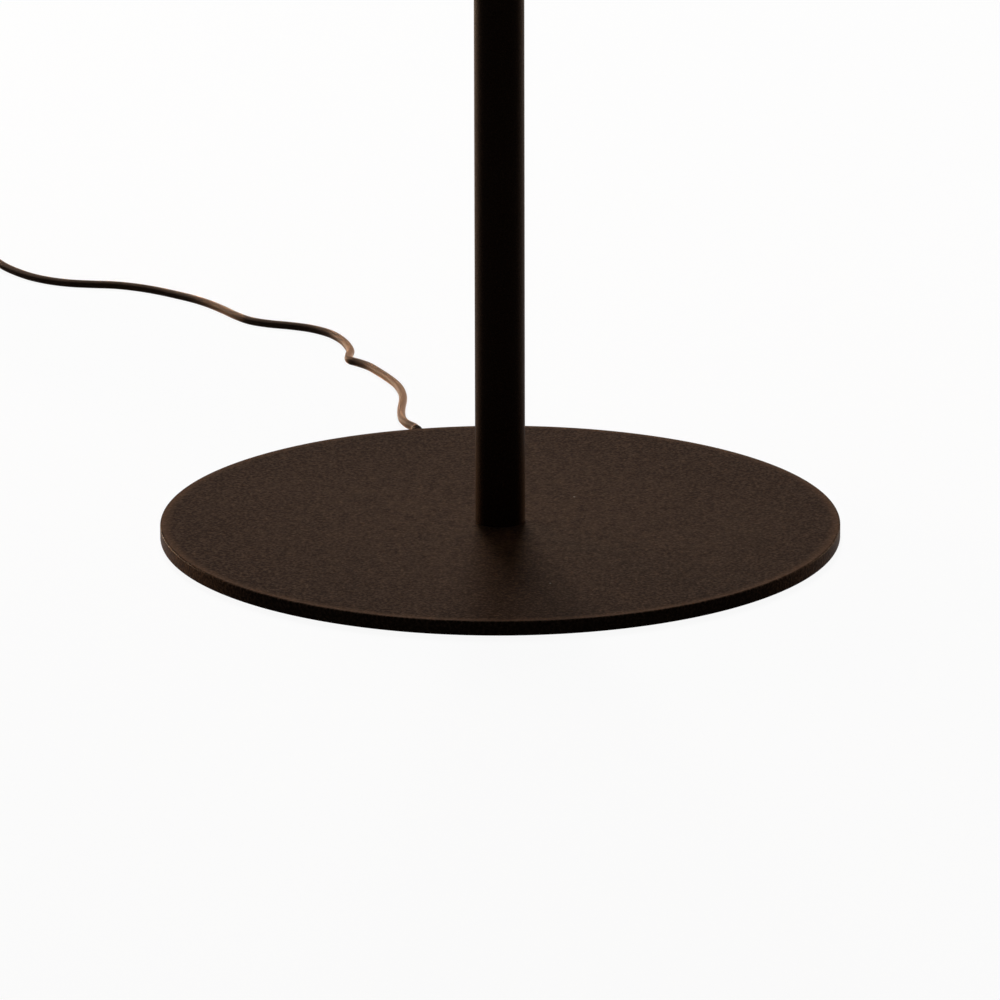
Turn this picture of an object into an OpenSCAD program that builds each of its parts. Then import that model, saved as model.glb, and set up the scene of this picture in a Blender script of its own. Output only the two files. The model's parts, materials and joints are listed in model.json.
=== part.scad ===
// Floor lamp with a round plate base, a two-piece pole, a folding swing arm and a tilting LED head.
// Millimetres, +Z up. The origin lies on the floor under the middle of the pole; the arm points along +X.

/* [Base] */
// Diameter of the round base plate
base_d = 300; // [260:5:360]
// Thickness of the base plate
plate_t = 6.5; // [6:0.5:12]
// Rounding of the plate's top edge
edge_r = 0.8; // [0.4:0.1:1.2]
// Chamfer of the plate's bottom edge
foot_chamfer = 0.6; // [0.2:0.1:1]
// Thickness of the soft pad under the plate
pad_t = 1; // [1:0.5:4]
// How far the pad's edge stays back from the plate's rim
pad_inset = 10; // [9:1:20]
// Outside diameter of the hollow stud that stands in the plate
stud_d = 15; // [13:0.5:16]
// Bore of the stud
stud_bore = 10; // [8:0.5:11]
// Height of the stud above the plate
stud_h = 32; // [20:1:50]

/* [Pole] */
// Outside diameter of the pole tubes
pole_d = 22; // [21:0.5:28]
// Wall of the pole tubes
pole_wall = 1.5; // [1:0.1:1.8]
// Length of the lower tube
lower_tube_l = 620; // [400:10:700]
// Length of the upper tube
upper_tube_l = 620; // [400:10:700]
// Length of the coupler inside each tube
coupler_grip = 40; // [20:5:60]
// Wall of the coupler
coupler_wall = 2; // [1.2:0.1:3]
// Thickness of the coupler's rim between the tubes
coupler_rim_t = 1.2; // [0.8:0.1:3]

/* [Swivel] */
// Diameter of the spigot that turns in the pole's top
spigot_d = 12; // [10:0.5:14]
// Length of the spigot
spigot_l = 38; // [24:1:60]
// Length of the bush in the pole's top
bush_l = 44; // [30:1:70]
// Thickness of the bush's flange
bush_flange_t = 2; // [1:0.5:4]
// Diameter of the hub on the pole's top
hub_d = 28; // [24:0.5:36]
// Height of the hub
hub_h = 36; // [34:1:50]
// Height of the arm's axis over the hub's underside
arm_rise = 14; // [10:0.5:15]
// Reach of the hub's boss from the pole's axis
hub_boss_l = 30; // [28:1:45]

/* [Dimmer] */
// Diameter of the dimmer's case in the hub
dimmer_d = 17; // [14:0.5:20]
// Depth of the dimmer's case
dimmer_h = 10; // [8:0.5:11]
// Diameter of the dimmer's spindle
spindle_d = 5; // [4:0.5:6]
// Length of the spindle inside the dimmer
spindle_grip = 7; // [5:0.5:9]
// Diameter of the dimmer knob
dimmer_knob_d = 20; // [16:0.5:28]
// Height of the dimmer knob
dimmer_knob_h = 14; // [10:0.5:20]

/* [Swing arm] */
// Reach from the pole's axis to the elbow's axis
inner_reach = 220; // [150:5:320]
// Reach from the elbow's axis to the tilt axis
outer_reach = 230; // [180:5:340]
// Outside diameter of the arm tubes
arm_d = 12; // [10:0.5:14]
// Wall of the arm tubes
arm_wall = 1.2; // [0.8:0.1:2]
// Wall of the bosses that hold the arm tubes
boss_wall = 2; // [1.5:0.1:2.5]
// Depth of the sockets that hold the arm tubes
socket_l = 12; // [8:0.5:13]
// Diameter of the elbow's barrels
knuckle_d = 22; // [18:0.5:28]
// Height of one elbow barrel
knuckle_h = 20; // [19:0.5:26]
// Reach of an elbow barrel's boss from the elbow's axis
knuckle_boss_l = 27; // [26:1:40]
// Diameter of the elbow's bolt
elbow_bolt_d = 8; // [6:0.5:10]
// Thickness of the elbow's washer
elbow_washer_t = 1; // [0.6:0.1:2]
// Diameter of the elbow's clamping knob
elbow_knob_d = 22; // [18:0.5:30]
// Height of the elbow's clamping knob
elbow_knob_h = 12; // [10:0.5:18]
// Width across flats of the elbow's cap nut
elbow_nut_w = 14; // [13:0.5:16]
// Height of the hexagon of both cap nuts
cap_nut_h = 5; // [4:0.5:7]

/* [Tilt joint] */
// Height of the fork, which is also the round of its ears
fork_h = 18; // [17:0.5:22]
// Thickness of one ear of the fork
ear_t = 4; // [3:0.5:6]
// Length of the fork's slot behind the tilt axis
fork_slot_l = 16; // [15:0.5:24]
// Thickness of the web behind the slot
fork_web = 7; // [4:0.5:12]
// Thickness of the tongue between the ears
tongue_t = 8; // [6:0.5:12]
// Thickness of one friction washer
tilt_washer_t = 1; // [0.6:0.1:2]
// Diameter of the tilt pin
tilt_pin_d = 6; // [5:0.5:7]
// Diameter of the tilt knob
tilt_knob_d = 18; // [14:0.5:24]
// Height of the tilt knob
tilt_knob_h = 11; // [8:0.5:16]
// Width across flats of the tilt pin's cap nut
tilt_nut_w = 11; // [10:0.5:13]
// Drop from the tilt axis to the stem's collar
stem_drop = 26; // [25:0.5:40]
// Width of the stem's neck
neck_w = 10; // [8:0.5:11]
// Diameter of the stem's collar
collar_d = 20; // [16:0.5:24]
// Thickness of the stem's collar
collar_t = 4; // [2:0.5:8]
// Diameter of the stem's nipple in the heat sink
nipple_d = 10; // [8:0.5:14]
// Length of the nipple
nipple_l = 12; // [8:0.5:20]

/* [Head] */
// Height of the heat sink
sink_h = 46; // [36:1:70]
// Diameter of the heat sink's core
sink_core_d = 28; // [22:0.5:34]
// Diameter of the heat sink's fins
fin_d = 42; // [38:0.5:43]
// Thickness of one fin
fin_t = 2; // [1:0.1:3]
// Number of fins
fin_count = 7; // [4:1:8]
// Diameter of the heat sink's foot
sink_foot_d = 60; // [58:0.5:64]
// Thickness of the heat sink's foot
sink_foot_t = 5; // [3:0.5:8]
// Diameter of the flat top of the shade
shade_top_d = 70; // [68:1:90]
// Hole for the leads in the shade's top
shade_hole_d = 14; // [10:0.5:20]
// Radius of the shade's shoulder
shade_shoulder_r = 16; // [8:0.5:24]
// Slope of the shade's wall below the horizontal, in degrees
shade_slope = 66; // [55:1:80]
// Height of the shade
shade_h = 105; // [80:1:150]
// Wall of the shade
shade_wall = 1; // [0.6:0.1:2]
// Diameter of the bead that is rolled at the shade's mouth
shade_bead_d = 3; // [2.2:0.1:6]
// Diameter of the carrier plate under the shade's top
carrier_d = 62; // [60:0.5:64]
// Thickness of the carrier plate
carrier_t = 5; // [4:0.5:8]
// Diameter of the light board
board_d = 48; // [44:0.5:49]
// Thickness of the light board
board_t = 1.6; // [1:0.1:3]
// Number of light chips on the outer ring
led_count = 12; // [6:1:16]
// Side of one light chip
led_w = 3; // [2:0.1:4]
// Thickness of one light chip
led_t = 0.8; // [0.4:0.1:1.2]
// Radius of the ring of light chips
led_ring_r = 17; // [14:0.5:19]
// Outside diameter of the diffuser's wall
diffuser_d = 56; // [54:0.5:57]
// Wall of the diffuser
diffuser_wall = 2; // [1:0.1:2.4]
// Depth of the diffuser's straight wall below its flange
diffuser_wall_h = 6; // [4:0.5:12]
// Rise of the diffuser's dome
dome_rise = 8; // [4:0.5:16]
// Wall of the ring that holds the diffuser
ring_wall = 1.8; // [1.2:0.1:2.5]
// Thickness of the ring's lip
ring_lip_t = 1.6; // [1:0.1:3]
// Diameter of the head's screws
screw_d = 3; // [2.5:0.5:3.5]
// Number of the head's screws
screw_count = 3; // [3:1:6]
// Diameter of a screw's head
screw_head_d = 5.5; // [5:0.1:6]
// Height of a screw's head
screw_head_h = 3; // [2:0.5:4]
// Radius of the ring of screws
screw_ring_r = 25; // [24.5:0.1:26]

/* [Cord] */
// Diameter of the cord
cord_d = 3.8; // [3:0.1:4]
// Turn of the cord's way out from +Y towards -X, in degrees
exit_turn = 13.5; // [0:0.5:40]
// Radius of the cord's bend under the pole
cord_bend_r = 8; // [6:0.5:9]
// Diameter of the strain relief at the rim
relief_d = 5; // [4.8:0.1:5.2]
// Diameter of the strain relief at its tip
relief_tip_d = 4.6; // [4.5:0.1:5]
// Length of the strain relief inside the rim
relief_seat_l = 8; // [5:0.5:8]
// Length of the strain relief outside the rim
relief_out_l = 14; // [10:1:30]
// Loops in one layer of the coil
coil_turns = 2.85; // [1.85:1:3.85]
// Radius of the coil's outermost loop
coil_r = 28.5; // [26:0.5:40]
// Gap between neighbouring loops
coil_gap = 0.6; // [0.5:0.1:1]
// Width of the tie round the coil
tie_w = 8; // [5:1:9]
// Thickness of the tie
tie_t = 0.8; // [0.5:0.1:1.5]

/* [Adapter] */
// Width of the plug-in adapter
adapter_w = 38; // [32:1:50]
// Height of the adapter as it lies
adapter_h = 32; // [28:1:40]
// Length of the adapter's case behind its front
adapter_l = 44; // [30:1:70]
// Length of the adapter's front
adapter_front_l = 12; // [8:1:20]
// Corner radius of the adapter
adapter_r = 6; // [3:0.5:10]
// Rounding of the adapter's end at the cord
adapter_end_r = 5; // [2:0.5:8]
// Length of the adapter's strain relief
adapter_relief_l = 14; // [10:1:30]
// Diameter of the adapter's strain relief at its root
adapter_relief_d = 7; // [6:0.5:9]
// Diameter of one plug pin
pin_d = 4; // [4:0.1:5]
// Length of one plug pin
pin_l = 19; // [15:0.5:22]
// Distance between the two plug pins
pin_spacing = 19; // [17:0.5:22]

/* [Hidden] */
$fn = 96;

// Clearances: fixed fits, running fits, flat faces that slide past each other, and the cable's way
fit_gap = 0.05;
run_gap = 0.05;
slide_gap = 0.2;
way_gap = 0.25;
cut = 1;

// Heights of the base and pole
plate_z = pad_t;
plate_top = plate_z + plate_t;
lower_top = plate_top + lower_tube_l;
upper_z = lower_top + coupler_rim_t;
pole_top = upper_z + upper_tube_l;
pole_bore = pole_d - 2 * pole_wall;

// Heights and reaches of the arm
hub_z = pole_top + bush_flange_t + slide_gap;
arm_z = hub_z + arm_rise;
boss_d = arm_d + 2 * boss_wall;
cable_way_d = cord_d + 2 * way_gap;
outer_z = arm_z + knuckle_h + elbow_washer_t + slide_gap;
tilt_x = inner_reach + outer_reach;
hub_socket_x = hub_boss_l - socket_l;
knuckle_socket_x = knuckle_boss_l - socket_l;
inner_tube_l = inner_reach - hub_socket_x - knuckle_socket_x;
hub_bend_r = 5;
hub_chamfer = 1.2;
barrel_chamfer = 1;
lead_hole_d = 3;

// Elbow bolt: it reaches into the cap nut below and into the knob above
bolt_nut_grip = 6;
bolt_knob_grip = 8;
elbow_bolt_z = arm_z - knuckle_h / 2 - bolt_nut_grip;
elbow_knob_z = outer_z + knuckle_h / 2 + slide_gap;

// Tilt joint, across its axis
washer_play = 0.1;
slot_w = tongue_t + 2 * (tilt_washer_t + washer_play);
fork_w = slot_w + 2 * ear_t;
fork_back = fork_slot_l + fork_web;
fork_socket_x = fork_back + socket_l;
outer_tube_l = outer_reach - knuckle_socket_x - fork_back;
tongue_d = fork_h - 1;
pin_nut_grip = 5;
pin_knob_grip = 7;
tilt_knob_y = fork_w / 2 + slide_gap;

// Heights in the head, measured from the tilt axis
sink_top = -stem_drop - collar_t;
sink_bottom = sink_top - sink_h;
carrier_top = sink_bottom - shade_wall;
board_top = carrier_top - carrier_t;
chip_top = board_top - board_t;
diffuser_flange_t = 2;
diffuser_flange_d = carrier_d - 2;
diffuser_lip_z = board_top - diffuser_flange_t;
ring_hold = 3;
ring_d = carrier_d + 2 * (fit_gap + ring_wall);
fin_pitch = (sink_h - sink_foot_t) / fin_count;
screw_play = 0.1;
head_cable_d = 3;
head_cable_top = -12;

// Outline of the shade: its flat top runs into a round shoulder and then into the straight wall
shoulder_drop = shade_shoulder_r * (1 - cos(shade_slope));
shade_wall_l = (shade_h - shoulder_drop) / sin(shade_slope);
mouth_r = shade_top_d / 2 + shade_shoulder_r * sin(shade_slope) + shade_wall_l * cos(shade_slope);

// Knobs
flute_d = 1.6;
flute_pitch = 2.6;
knob_chamfer = 1.2;

// Dish in a knob's top, and the dimmer's index groove in the dish
knob_dish = 0.5;
knob_lip = 3.6;
index_turn = 225;
index_w = 1.2;
index_depth = 0.3;
index_start = 2.5;
index_gap = 0.4;

// How far a cap nut's dome stays back from the hexagon's flats
dome_inset = 0.5;

// Cord: height of its axis in the plate, its way out and where the strain relief ends
groove_gap = 0.2;
cord_r = cord_d / 2;
cord_axis_z = plate_z + cord_r + way_gap / 2;
exit_dir = [-sin(exit_turn), cos(exit_turn)];
relief_tip = (base_d / 2 + relief_out_l) * exit_dir;
slot_rise = 1;

// Route of the free cord: x and y from the tip of the strain relief, and the height over lying flat
route_start_l = 3;
route_end_l = 8;
cord_route = [
    [-4, 9.5, 0.75], [-6.3, 18, 0.45], [-7, 28, 0.15], [-7, 38, 0], [-6.5, 48.5, 0], [-6.5, 58, 0],
    [-7.5, 67.5, 0], [-9.5, 77, 0], [-13, 87, 0], [-17.5, 97.5, 0], [-22.5, 108, 0],
    [-27.5, 114.5, 0], [-32, 119.5, 0], [-32.4, 127, 0], [-31.7, 134, 0], [-33, 142.5, 0],
    [-35, 150.5, 0], [-38.4, 159, 0], [-43, 166.5, 0], [-51, 174, 0], [-61, 179, 0],
    [-71, 182.5, 0], [-80, 188, 0], [-87, 197, 0], [-93, 207, 0], [-100, 217.5, 0],
    [-107.7, 226.5, 0], [-116.7, 234.5, 0], [-126.2, 242, 0], [-136.2, 248, 0], [-146.7, 252, 0],
    [-157.6, 253.5, 0], [-168, 255.5, 0], [-178, 260, 0], [-187, 267, 0], [-194.5, 275, 0.3],
    [-201, 284, 0.7]
];

// Coil: its middle from the relief's tip, and the turn at which the cord runs into it
coil_centre = [-237, 289];
coil_entry_turn = 36;
coil_layers = 4;
coil_steps = 24;
coil_sides = 6;
cord_sides = 8;
tie_gap = 0.2;
tie_side_gap = 1;
tie_turn = 90;
coil_end_l = 20;
coil_pitch = cord_d + coil_gap;
coil_lift = tie_t + tie_gap;
coil_inner_r = coil_r - coil_turns * coil_pitch;
coil_length_turns = coil_layers * coil_turns;
coil_end_turn = coil_entry_turn + 360 * coil_length_turns;
coil_middle = relief_tip + coil_centre;
coil_end_z = coil_lift + cord_r + (coil_layers - 1) * coil_pitch;

// A turn of a unit vector in the floor's plane, the direction of the coil there, and a lift of a point
function around(turn) = [cos(turn), sin(turn)];
function along(turn) = [-sin(turn), cos(turn)];
function raised(p, z) = [p[0], p[1], z];

// Soft step from 0 to 1
function soft_step(x) = x <= 0 ? 0 : x >= 1 ? 1 : (1 - cos(180 * x)) / 2;

// Radius of the coil after some turns: in and out again at a steady rate
function coil_radius(t) =
    let (layer = min(floor(t / coil_turns), coil_layers - 1), part = t - layer * coil_turns)
    layer % 2 == 0 ? coil_r - part * coil_pitch : coil_inner_r + part * coil_pitch;

// Height of the coil's axis: one layer up in the half turn round each reversal
function coil_height(t) =
    coil_lift + cord_r
    + coil_pitch * sum_of([for (i = [1 : coil_layers - 1]) soft_step(2 * (t - i * coil_turns) + 0.5)]);

function sum_of(list, i = 0) = i >= len(list) ? 0 : list[i] + sum_of(list, i + 1);

function coil_point(t) =
    raised(coil_middle + coil_radius(t) * around(coil_entry_turn + 360 * t), coil_height(t));

coil_count = floor(coil_length_turns * coil_steps);
coil_loops = [for (i = [0 : coil_count]) coil_point(i * coil_length_turns / coil_count)];
coil_entry = coil_middle + coil_r * around(coil_entry_turn);
coil_exit = coil_middle + coil_r * around(coil_end_turn);
coil_start = raised(coil_entry - cord_d * along(coil_entry_turn), coil_lift + cord_r);
coil_end = raised(coil_exit + coil_end_l * along(coil_end_turn), coil_end_z);
coil_path = concat([coil_start], coil_loops, [coil_end]);

floor_path = concat(
    [raised(relief_tip, cord_axis_z)],
    [raised(relief_tip + route_start_l * exit_dir, cord_axis_z)],
    [for (p = cord_route) raised(relief_tip + [p[0], p[1]], cord_r + p[2])],
    [raised(coil_entry - (cord_d + route_end_l) * along(coil_entry_turn), coil_lift + cord_r)],
    [coil_start]
);

// Least distance between loops that lie beside or on each other, less the cord itself
function least_gap(path, skip) =
    min([for (i = [0 : len(path) - 1 - skip]) for (j = [i + skip : len(path) - 1]) norm(path[i] - path[j])])
    - cord_d;

// Directions along a path, and the rings of a tube that follows it
function path_dir(path, i) =
    let (d = path[min(i + 1, len(path) - 1)] - path[max(i - 1, 0)]) d / norm(d);

function tube_ring(p, d, r, sides) =
    let (side = cross(d, [0, 0, 1]), right = side / norm(side), up = cross(right, d))
    [for (k = [0 : sides - 1]) p + r * (cos(360 * (k + 0.5) / sides - 90) * right
                                        + sin(360 * (k + 0.5) / sides - 90) * up)];

module swept_tube(path, r, sides) {
    rings = len(path);
    last = (rings - 1) * sides;
    points = [for (i = [0 : rings - 1]) each tube_ring(path[i], path_dir(path, i), r, sides)];
    walls = [
        for (i = [0 : rings - 2]) for (k = [0 : sides - 1])
            let (a = i * sides + k, b = i * sides + (k + 1) % sides)
            each [[a, b, b + sides], [a, b + sides, a + sides]]
    ];
    ends = [for (k = [1 : sides - 2]) each [[0, k + 1, k], [last, last + k, last + k + 1]]];
    polyhedron(points = points, faces = concat(walls, ends));
}

// Shapes that repeat
module pipe(od, id, h) {
    difference() {
        cylinder(d = od, h = h);
        translate([0, 0, -cut]) cylinder(d = id, h = h + 2 * cut);
    }
}

module along_x(x, z) {
    translate([x, 0, z]) rotate([0, 90, 0]) children();
}

module chamfered(d, h, c) {
    rotate_extrude()
        polygon([[0, 0], [d / 2 - c, 0], [d / 2, c], [d / 2, h - c], [d / 2 - c, h], [0, h]]);
}

// Quarter bend that runs from straight up at the origin's underside to straight along +X
module bend_out(r, d) {
    translate([r, 0, -r])
        rotate([90, 0, 0])
            rotate([0, 0, 90])
                rotate_extrude(angle = 90) translate([r, 0]) circle(d = d);
}

// Quarter bend that runs from along -X to straight up
module bend_up(r, d) {
    translate([r, 0, r])
        rotate([90, 0, 0])
            rotate([0, 0, 180])
                rotate_extrude(angle = 90) translate([r, 0]) circle(d = d);
}

// Turned knob with flutes round its side and a blind hole underneath
module fluted_knob(d, h, hole_d, hole_l) {
    flutes = floor(PI * d / flute_pitch);
    difference() {
        chamfered(d, h, knob_chamfer);
        for (i = [0 : flutes - 1])
            rotate(360 * i / flutes)
                translate([d / 2, 0, -cut])
                    cylinder(d = flute_d, h = h + 2 * cut, $fn = 24);
        translate([0, 0, -cut]) cylinder(d = hole_d, h = hole_l + cut);
        translate([0, 0, h - knob_dish]) cylinder(d = d - 2 * knob_lip, h = knob_dish + cut);
    }
}

// Cap nut that opens upwards: a hexagon with a dome below it
module cap_nut(across, hole_d, hole_l) {
    hex_d = across / cos(30);
    dome_r = across / 2 - dome_inset;
    difference() {
        union() {
            translate([0, 0, -cap_nut_h]) cylinder(d = hex_d, h = cap_nut_h, $fn = 6);
            intersection() {
                translate([0, 0, -cap_nut_h]) sphere(r = dome_r);
                translate([0, 0, -cap_nut_h - dome_r])
                    cylinder(r = dome_r + cut, h = dome_r + cap_nut_h / 2);
            }
        }
        translate([0, 0, -hole_l]) cylinder(d = hole_d, h = hole_l + cut);
    }
}

// Upright barrel with a bored boss along +X that takes an arm tube
module elbow_barrel() {
    difference() {
        union() {
            translate([0, 0, -knuckle_h / 2]) chamfered(knuckle_d, knuckle_h, barrel_chamfer);
            along_x(0, 0) cylinder(d = boss_d, h = knuckle_boss_l);
        }
        cylinder(d = elbow_bolt_d + 2 * run_gap, h = knuckle_h + 2 * cut, center = true);
        along_x(knuckle_socket_x, 0) cylinder(d = arm_d + 2 * fit_gap, h = socket_l + cut);
        along_x(0, 0) cylinder(d = cable_way_d, h = knuckle_boss_l);
    }
}

module arm_tube(l) {
    rotate([0, 90, 0]) pipe(arm_d, arm_d - 2 * arm_wall, l);
}

// Way of the cord under the plate: a groove with a round roof that runs out along +X
module cord_groove(r, x0, x1) {
    translate([x0, 0, cord_axis_z]) rotate([0, 90, 0]) cylinder(r = r, h = x1 - x0);
    translate([x0, -r, plate_z - cut]) cube([x1 - x0, 2 * r, cord_axis_z - plate_z + cut]);
}

module to_exit() {
    rotate(90 + exit_turn) children();
}

module in_head() {
    translate([tilt_x, 0, outer_z]) children();
}

module on_screws() {
    for (i = [0 : screw_count - 1])
        rotate(360 * i / screw_count + 30) translate([screw_ring_r, 0, 0]) children();
}

// Base
module base_plate() {
    color("#33281f")
    difference() {
        rotate_extrude()
            union() {
                polygon([
                    [stud_d / 2 + fit_gap, plate_z], [base_d / 2 - foot_chamfer, plate_z],
                    [base_d / 2, plate_z + foot_chamfer], [base_d / 2, plate_top - edge_r],
                    [base_d / 2 - edge_r, plate_top - edge_r], [base_d / 2 - edge_r, plate_top],
                    [stud_d / 2 + fit_gap, plate_top]
                ]);
                translate([base_d / 2 - edge_r, plate_top - edge_r]) circle(r = edge_r);
            }
        to_exit() {
            cord_groove(cord_r + groove_gap, 0, base_d / 2);
            cord_groove(relief_d / 2 + fit_gap, base_d / 2 - relief_seat_l, base_d / 2 + cut);
        }
    }
}

module base_pad() {
    color("#2a2725") cylinder(d = base_d - 2 * pad_inset, h = pad_t);
}

module base_stud() {
    color("#8c8c8a")
    difference() {
        translate([0, 0, plate_z]) pipe(stud_d, stud_bore, plate_t + stud_h);
        to_exit() {
            cord_groove(cord_r + groove_gap, 0, stud_d);
            translate([0, 0, slot_rise]) cord_groove(cord_r + groove_gap, 0, stud_d);
        }
    }
}

module pole_insert() {
    color("#8c8c8a")
        translate([0, 0, plate_top])
            pipe(pole_bore - 2 * fit_gap, stud_d + 2 * fit_gap, stud_h);
}

// Pole
module lower_tube() {
    color("#1a130d") translate([0, 0, plate_top]) pipe(pole_d, pole_bore, lower_tube_l);
}

module tube_coupler() {
    grip_d = pole_bore - 2 * fit_gap;
    color("#8c8c8a")
    difference() {
        union() {
            translate([0, 0, lower_top - coupler_grip])
                cylinder(d = grip_d, h = 2 * coupler_grip + coupler_rim_t);
            translate([0, 0, lower_top]) cylinder(d = pole_d, h = coupler_rim_t);
        }
        translate([0, 0, lower_top - coupler_grip - cut])
            cylinder(d = grip_d - 2 * coupler_wall, h = 2 * (coupler_grip + cut) + coupler_rim_t);
    }
}

module upper_tube() {
    color("#1a130d") translate([0, 0, upper_z]) pipe(pole_d, pole_bore, upper_tube_l);
}

module swivel_bush() {
    color("#201d1a")
    difference() {
        union() {
            translate([0, 0, pole_top - bush_l]) cylinder(d = pole_bore - 2 * fit_gap, h = bush_l);
            translate([0, 0, pole_top]) cylinder(d = pole_d, h = bush_flange_t);
        }
        translate([0, 0, pole_top - bush_l - cut])
            cylinder(d = spigot_d + 2 * run_gap, h = bush_l + bush_flange_t + 2 * cut);
    }
}

module pole_cable() {
    bend_top = cord_axis_z + cord_bend_r;
    cable_top = hub_z - spigot_l - slide_gap;
    color("#3a2a20") {
        to_exit() {
            along_x(cord_bend_r, cord_axis_z)
                cylinder(d = cord_d, h = base_d / 2 + relief_out_l - cord_bend_r);
            translate([0, 0, cord_axis_z]) bend_up(cord_bend_r, cord_d);
        }
        translate([0, 0, bend_top]) cylinder(d = cord_d, h = cable_top - bend_top);
    }
}

// Hub on the pole's top, with the dimmer
module swivel_hub() {
    color("#1a130d")
    translate([0, 0, hub_z])
    difference() {
        union() {
            chamfered(hub_d, hub_h, hub_chamfer);
            along_x(0, arm_rise) cylinder(d = boss_d, h = hub_boss_l);
            translate([0, 0, -spigot_l]) cylinder(d = spigot_d, h = spigot_l + arm_rise);
        }
        translate([0, 0, hub_h - dimmer_h]) cylinder(d = dimmer_d + 2 * fit_gap, h = dimmer_h + cut);
        translate([0, 0, arm_rise]) cylinder(d = lead_hole_d, h = hub_h - dimmer_h);
        translate([0, 0, -spigot_l - cut])
            cylinder(d = cable_way_d, h = spigot_l + cut + arm_rise - hub_bend_r);
        translate([0, 0, arm_rise]) bend_out(hub_bend_r, cable_way_d);
        along_x(hub_bend_r, arm_rise) cylinder(d = cable_way_d, h = hub_boss_l);
        along_x(hub_socket_x, arm_rise) cylinder(d = arm_d + 2 * fit_gap, h = socket_l + cut);
    }
}

module dimmer_case() {
    color("#4a4a48")
    translate([0, 0, hub_z + hub_h - dimmer_h])
    difference() {
        cylinder(d = dimmer_d, h = dimmer_h);
        translate([0, 0, dimmer_h - spindle_grip - slide_gap])
            cylinder(d = spindle_d + 2 * run_gap, h = spindle_grip + slide_gap + cut);
    }
}

module dimmer_spindle() {
    color("#b5b2ab")
        translate([0, 0, hub_z + hub_h - spindle_grip])
            cylinder(d = spindle_d, h = spindle_grip + slide_gap + dimmer_knob_h / 2);
}

module dimmer_knob() {
    index_l = dimmer_knob_d / 2 - knob_lip - index_gap - index_start;
    color("#1a130d")
    translate([0, 0, hub_z + hub_h + slide_gap])
    difference() {
        fluted_knob(dimmer_knob_d, dimmer_knob_h, spindle_d + 2 * fit_gap, dimmer_knob_h / 2);
        rotate(index_turn)
            translate([index_start, -index_w / 2, dimmer_knob_h - knob_dish - index_depth])
                cube([index_l, index_w, index_depth + cut]);
    }
}

// Inner half of the arm, which carries the elbow's lower barrel
module inner_tube() {
    color("#1a130d") translate([hub_socket_x, 0, arm_z]) arm_tube(inner_tube_l);
}

module inner_cable() {
    cable_z = hub_z - spigot_l;
    cable_x = inner_reach - elbow_bolt_d / 2 - run_gap - slide_gap;
    color("#3a2a20") {
        translate([0, 0, cable_z]) cylinder(d = cord_d, h = arm_z - hub_bend_r - cable_z);
        translate([0, 0, arm_z]) bend_out(hub_bend_r, cord_d);
        along_x(hub_bend_r, arm_z) cylinder(d = cord_d, h = cable_x - hub_bend_r);
    }
}

module elbow_lower() {
    color("#1a130d") translate([inner_reach, 0, arm_z]) rotate(180) elbow_barrel();
}

module elbow_washer() {
    color("#d8d4c8")
        translate([inner_reach, 0, arm_z + knuckle_h / 2])
            pipe(knuckle_d - 2 * barrel_chamfer, elbow_bolt_d + 2 * run_gap, elbow_washer_t);
}

module elbow_nut() {
    color("#1a130d")
        translate([inner_reach, 0, arm_z - knuckle_h / 2])
            cap_nut(elbow_nut_w, elbow_bolt_d + 2 * run_gap, bolt_nut_grip + slide_gap);
}

module elbow_bolt() {
    color("#b5b2ab")
        translate([inner_reach, 0, elbow_bolt_z])
            cylinder(d = elbow_bolt_d, h = elbow_knob_z + bolt_knob_grip - elbow_bolt_z);
}

module elbow_knob() {
    color("#1a130d")
        translate([inner_reach, 0, elbow_knob_z])
            fluted_knob(elbow_knob_d, elbow_knob_h, elbow_bolt_d + 2 * fit_gap, bolt_knob_grip);
}

// Outer half of the arm, which carries the tilt fork
module elbow_upper() {
    color("#1a130d") translate([inner_reach, 0, outer_z]) elbow_barrel();
}

module outer_tube() {
    color("#1a130d") translate([inner_reach + knuckle_socket_x, 0, outer_z]) arm_tube(outer_tube_l);
}

module outer_cable() {
    cable_x = inner_reach + elbow_bolt_d / 2 + run_gap + slide_gap;
    color("#3a2a20")
        along_x(cable_x, outer_z) cylinder(d = cord_d, h = tilt_x - fork_slot_l - cable_x);
}

module tilt_fork() {
    color("#1a130d")
    in_head()
    difference() {
        union() {
            rotate([90, 0, 0])
                linear_extrude(height = fork_w, center = true)
                    union() {
                        circle(d = fork_h);
                        translate([-fork_back, -fork_h / 2]) square([fork_back, fork_h]);
                    }
            along_x(-fork_socket_x, 0) cylinder(d = boss_d, h = socket_l + fork_web / 2);
        }
        translate([-fork_slot_l, -slot_w / 2, -fork_h]) cube([fork_slot_l + fork_h, slot_w, 2 * fork_h]);
        rotate([90, 0, 0]) cylinder(d = tilt_pin_d + 2 * run_gap, h = fork_w + 2 * cut, center = true);
        along_x(-fork_socket_x - cut, 0) cylinder(d = arm_d + 2 * fit_gap, h = socket_l + cut);
        along_x(-fork_socket_x, 0) cylinder(d = cable_way_d, h = fork_socket_x);
    }
}

module tilt_nut() {
    color("#1a130d")
        in_head()
            translate([0, fork_w / 2, 0])
                rotate([90, 0, 0])
                    cap_nut(tilt_nut_w, tilt_pin_d + 2 * run_gap, pin_nut_grip + slide_gap);
}

module tilt_pin() {
    pin_y = fork_w / 2 + pin_nut_grip;
    color("#b5b2ab")
        in_head()
            translate([0, pin_y, 0])
                rotate([90, 0, 0])
                    cylinder(d = tilt_pin_d, h = pin_y + tilt_knob_y + pin_knob_grip);
}

module tilt_knob() {
    color("#1a130d")
        in_head()
            translate([0, -tilt_knob_y, 0])
                rotate([90, 0, 0])
                    fluted_knob(tilt_knob_d, tilt_knob_h, tilt_pin_d + 2 * fit_gap, pin_knob_grip);
}

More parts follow.
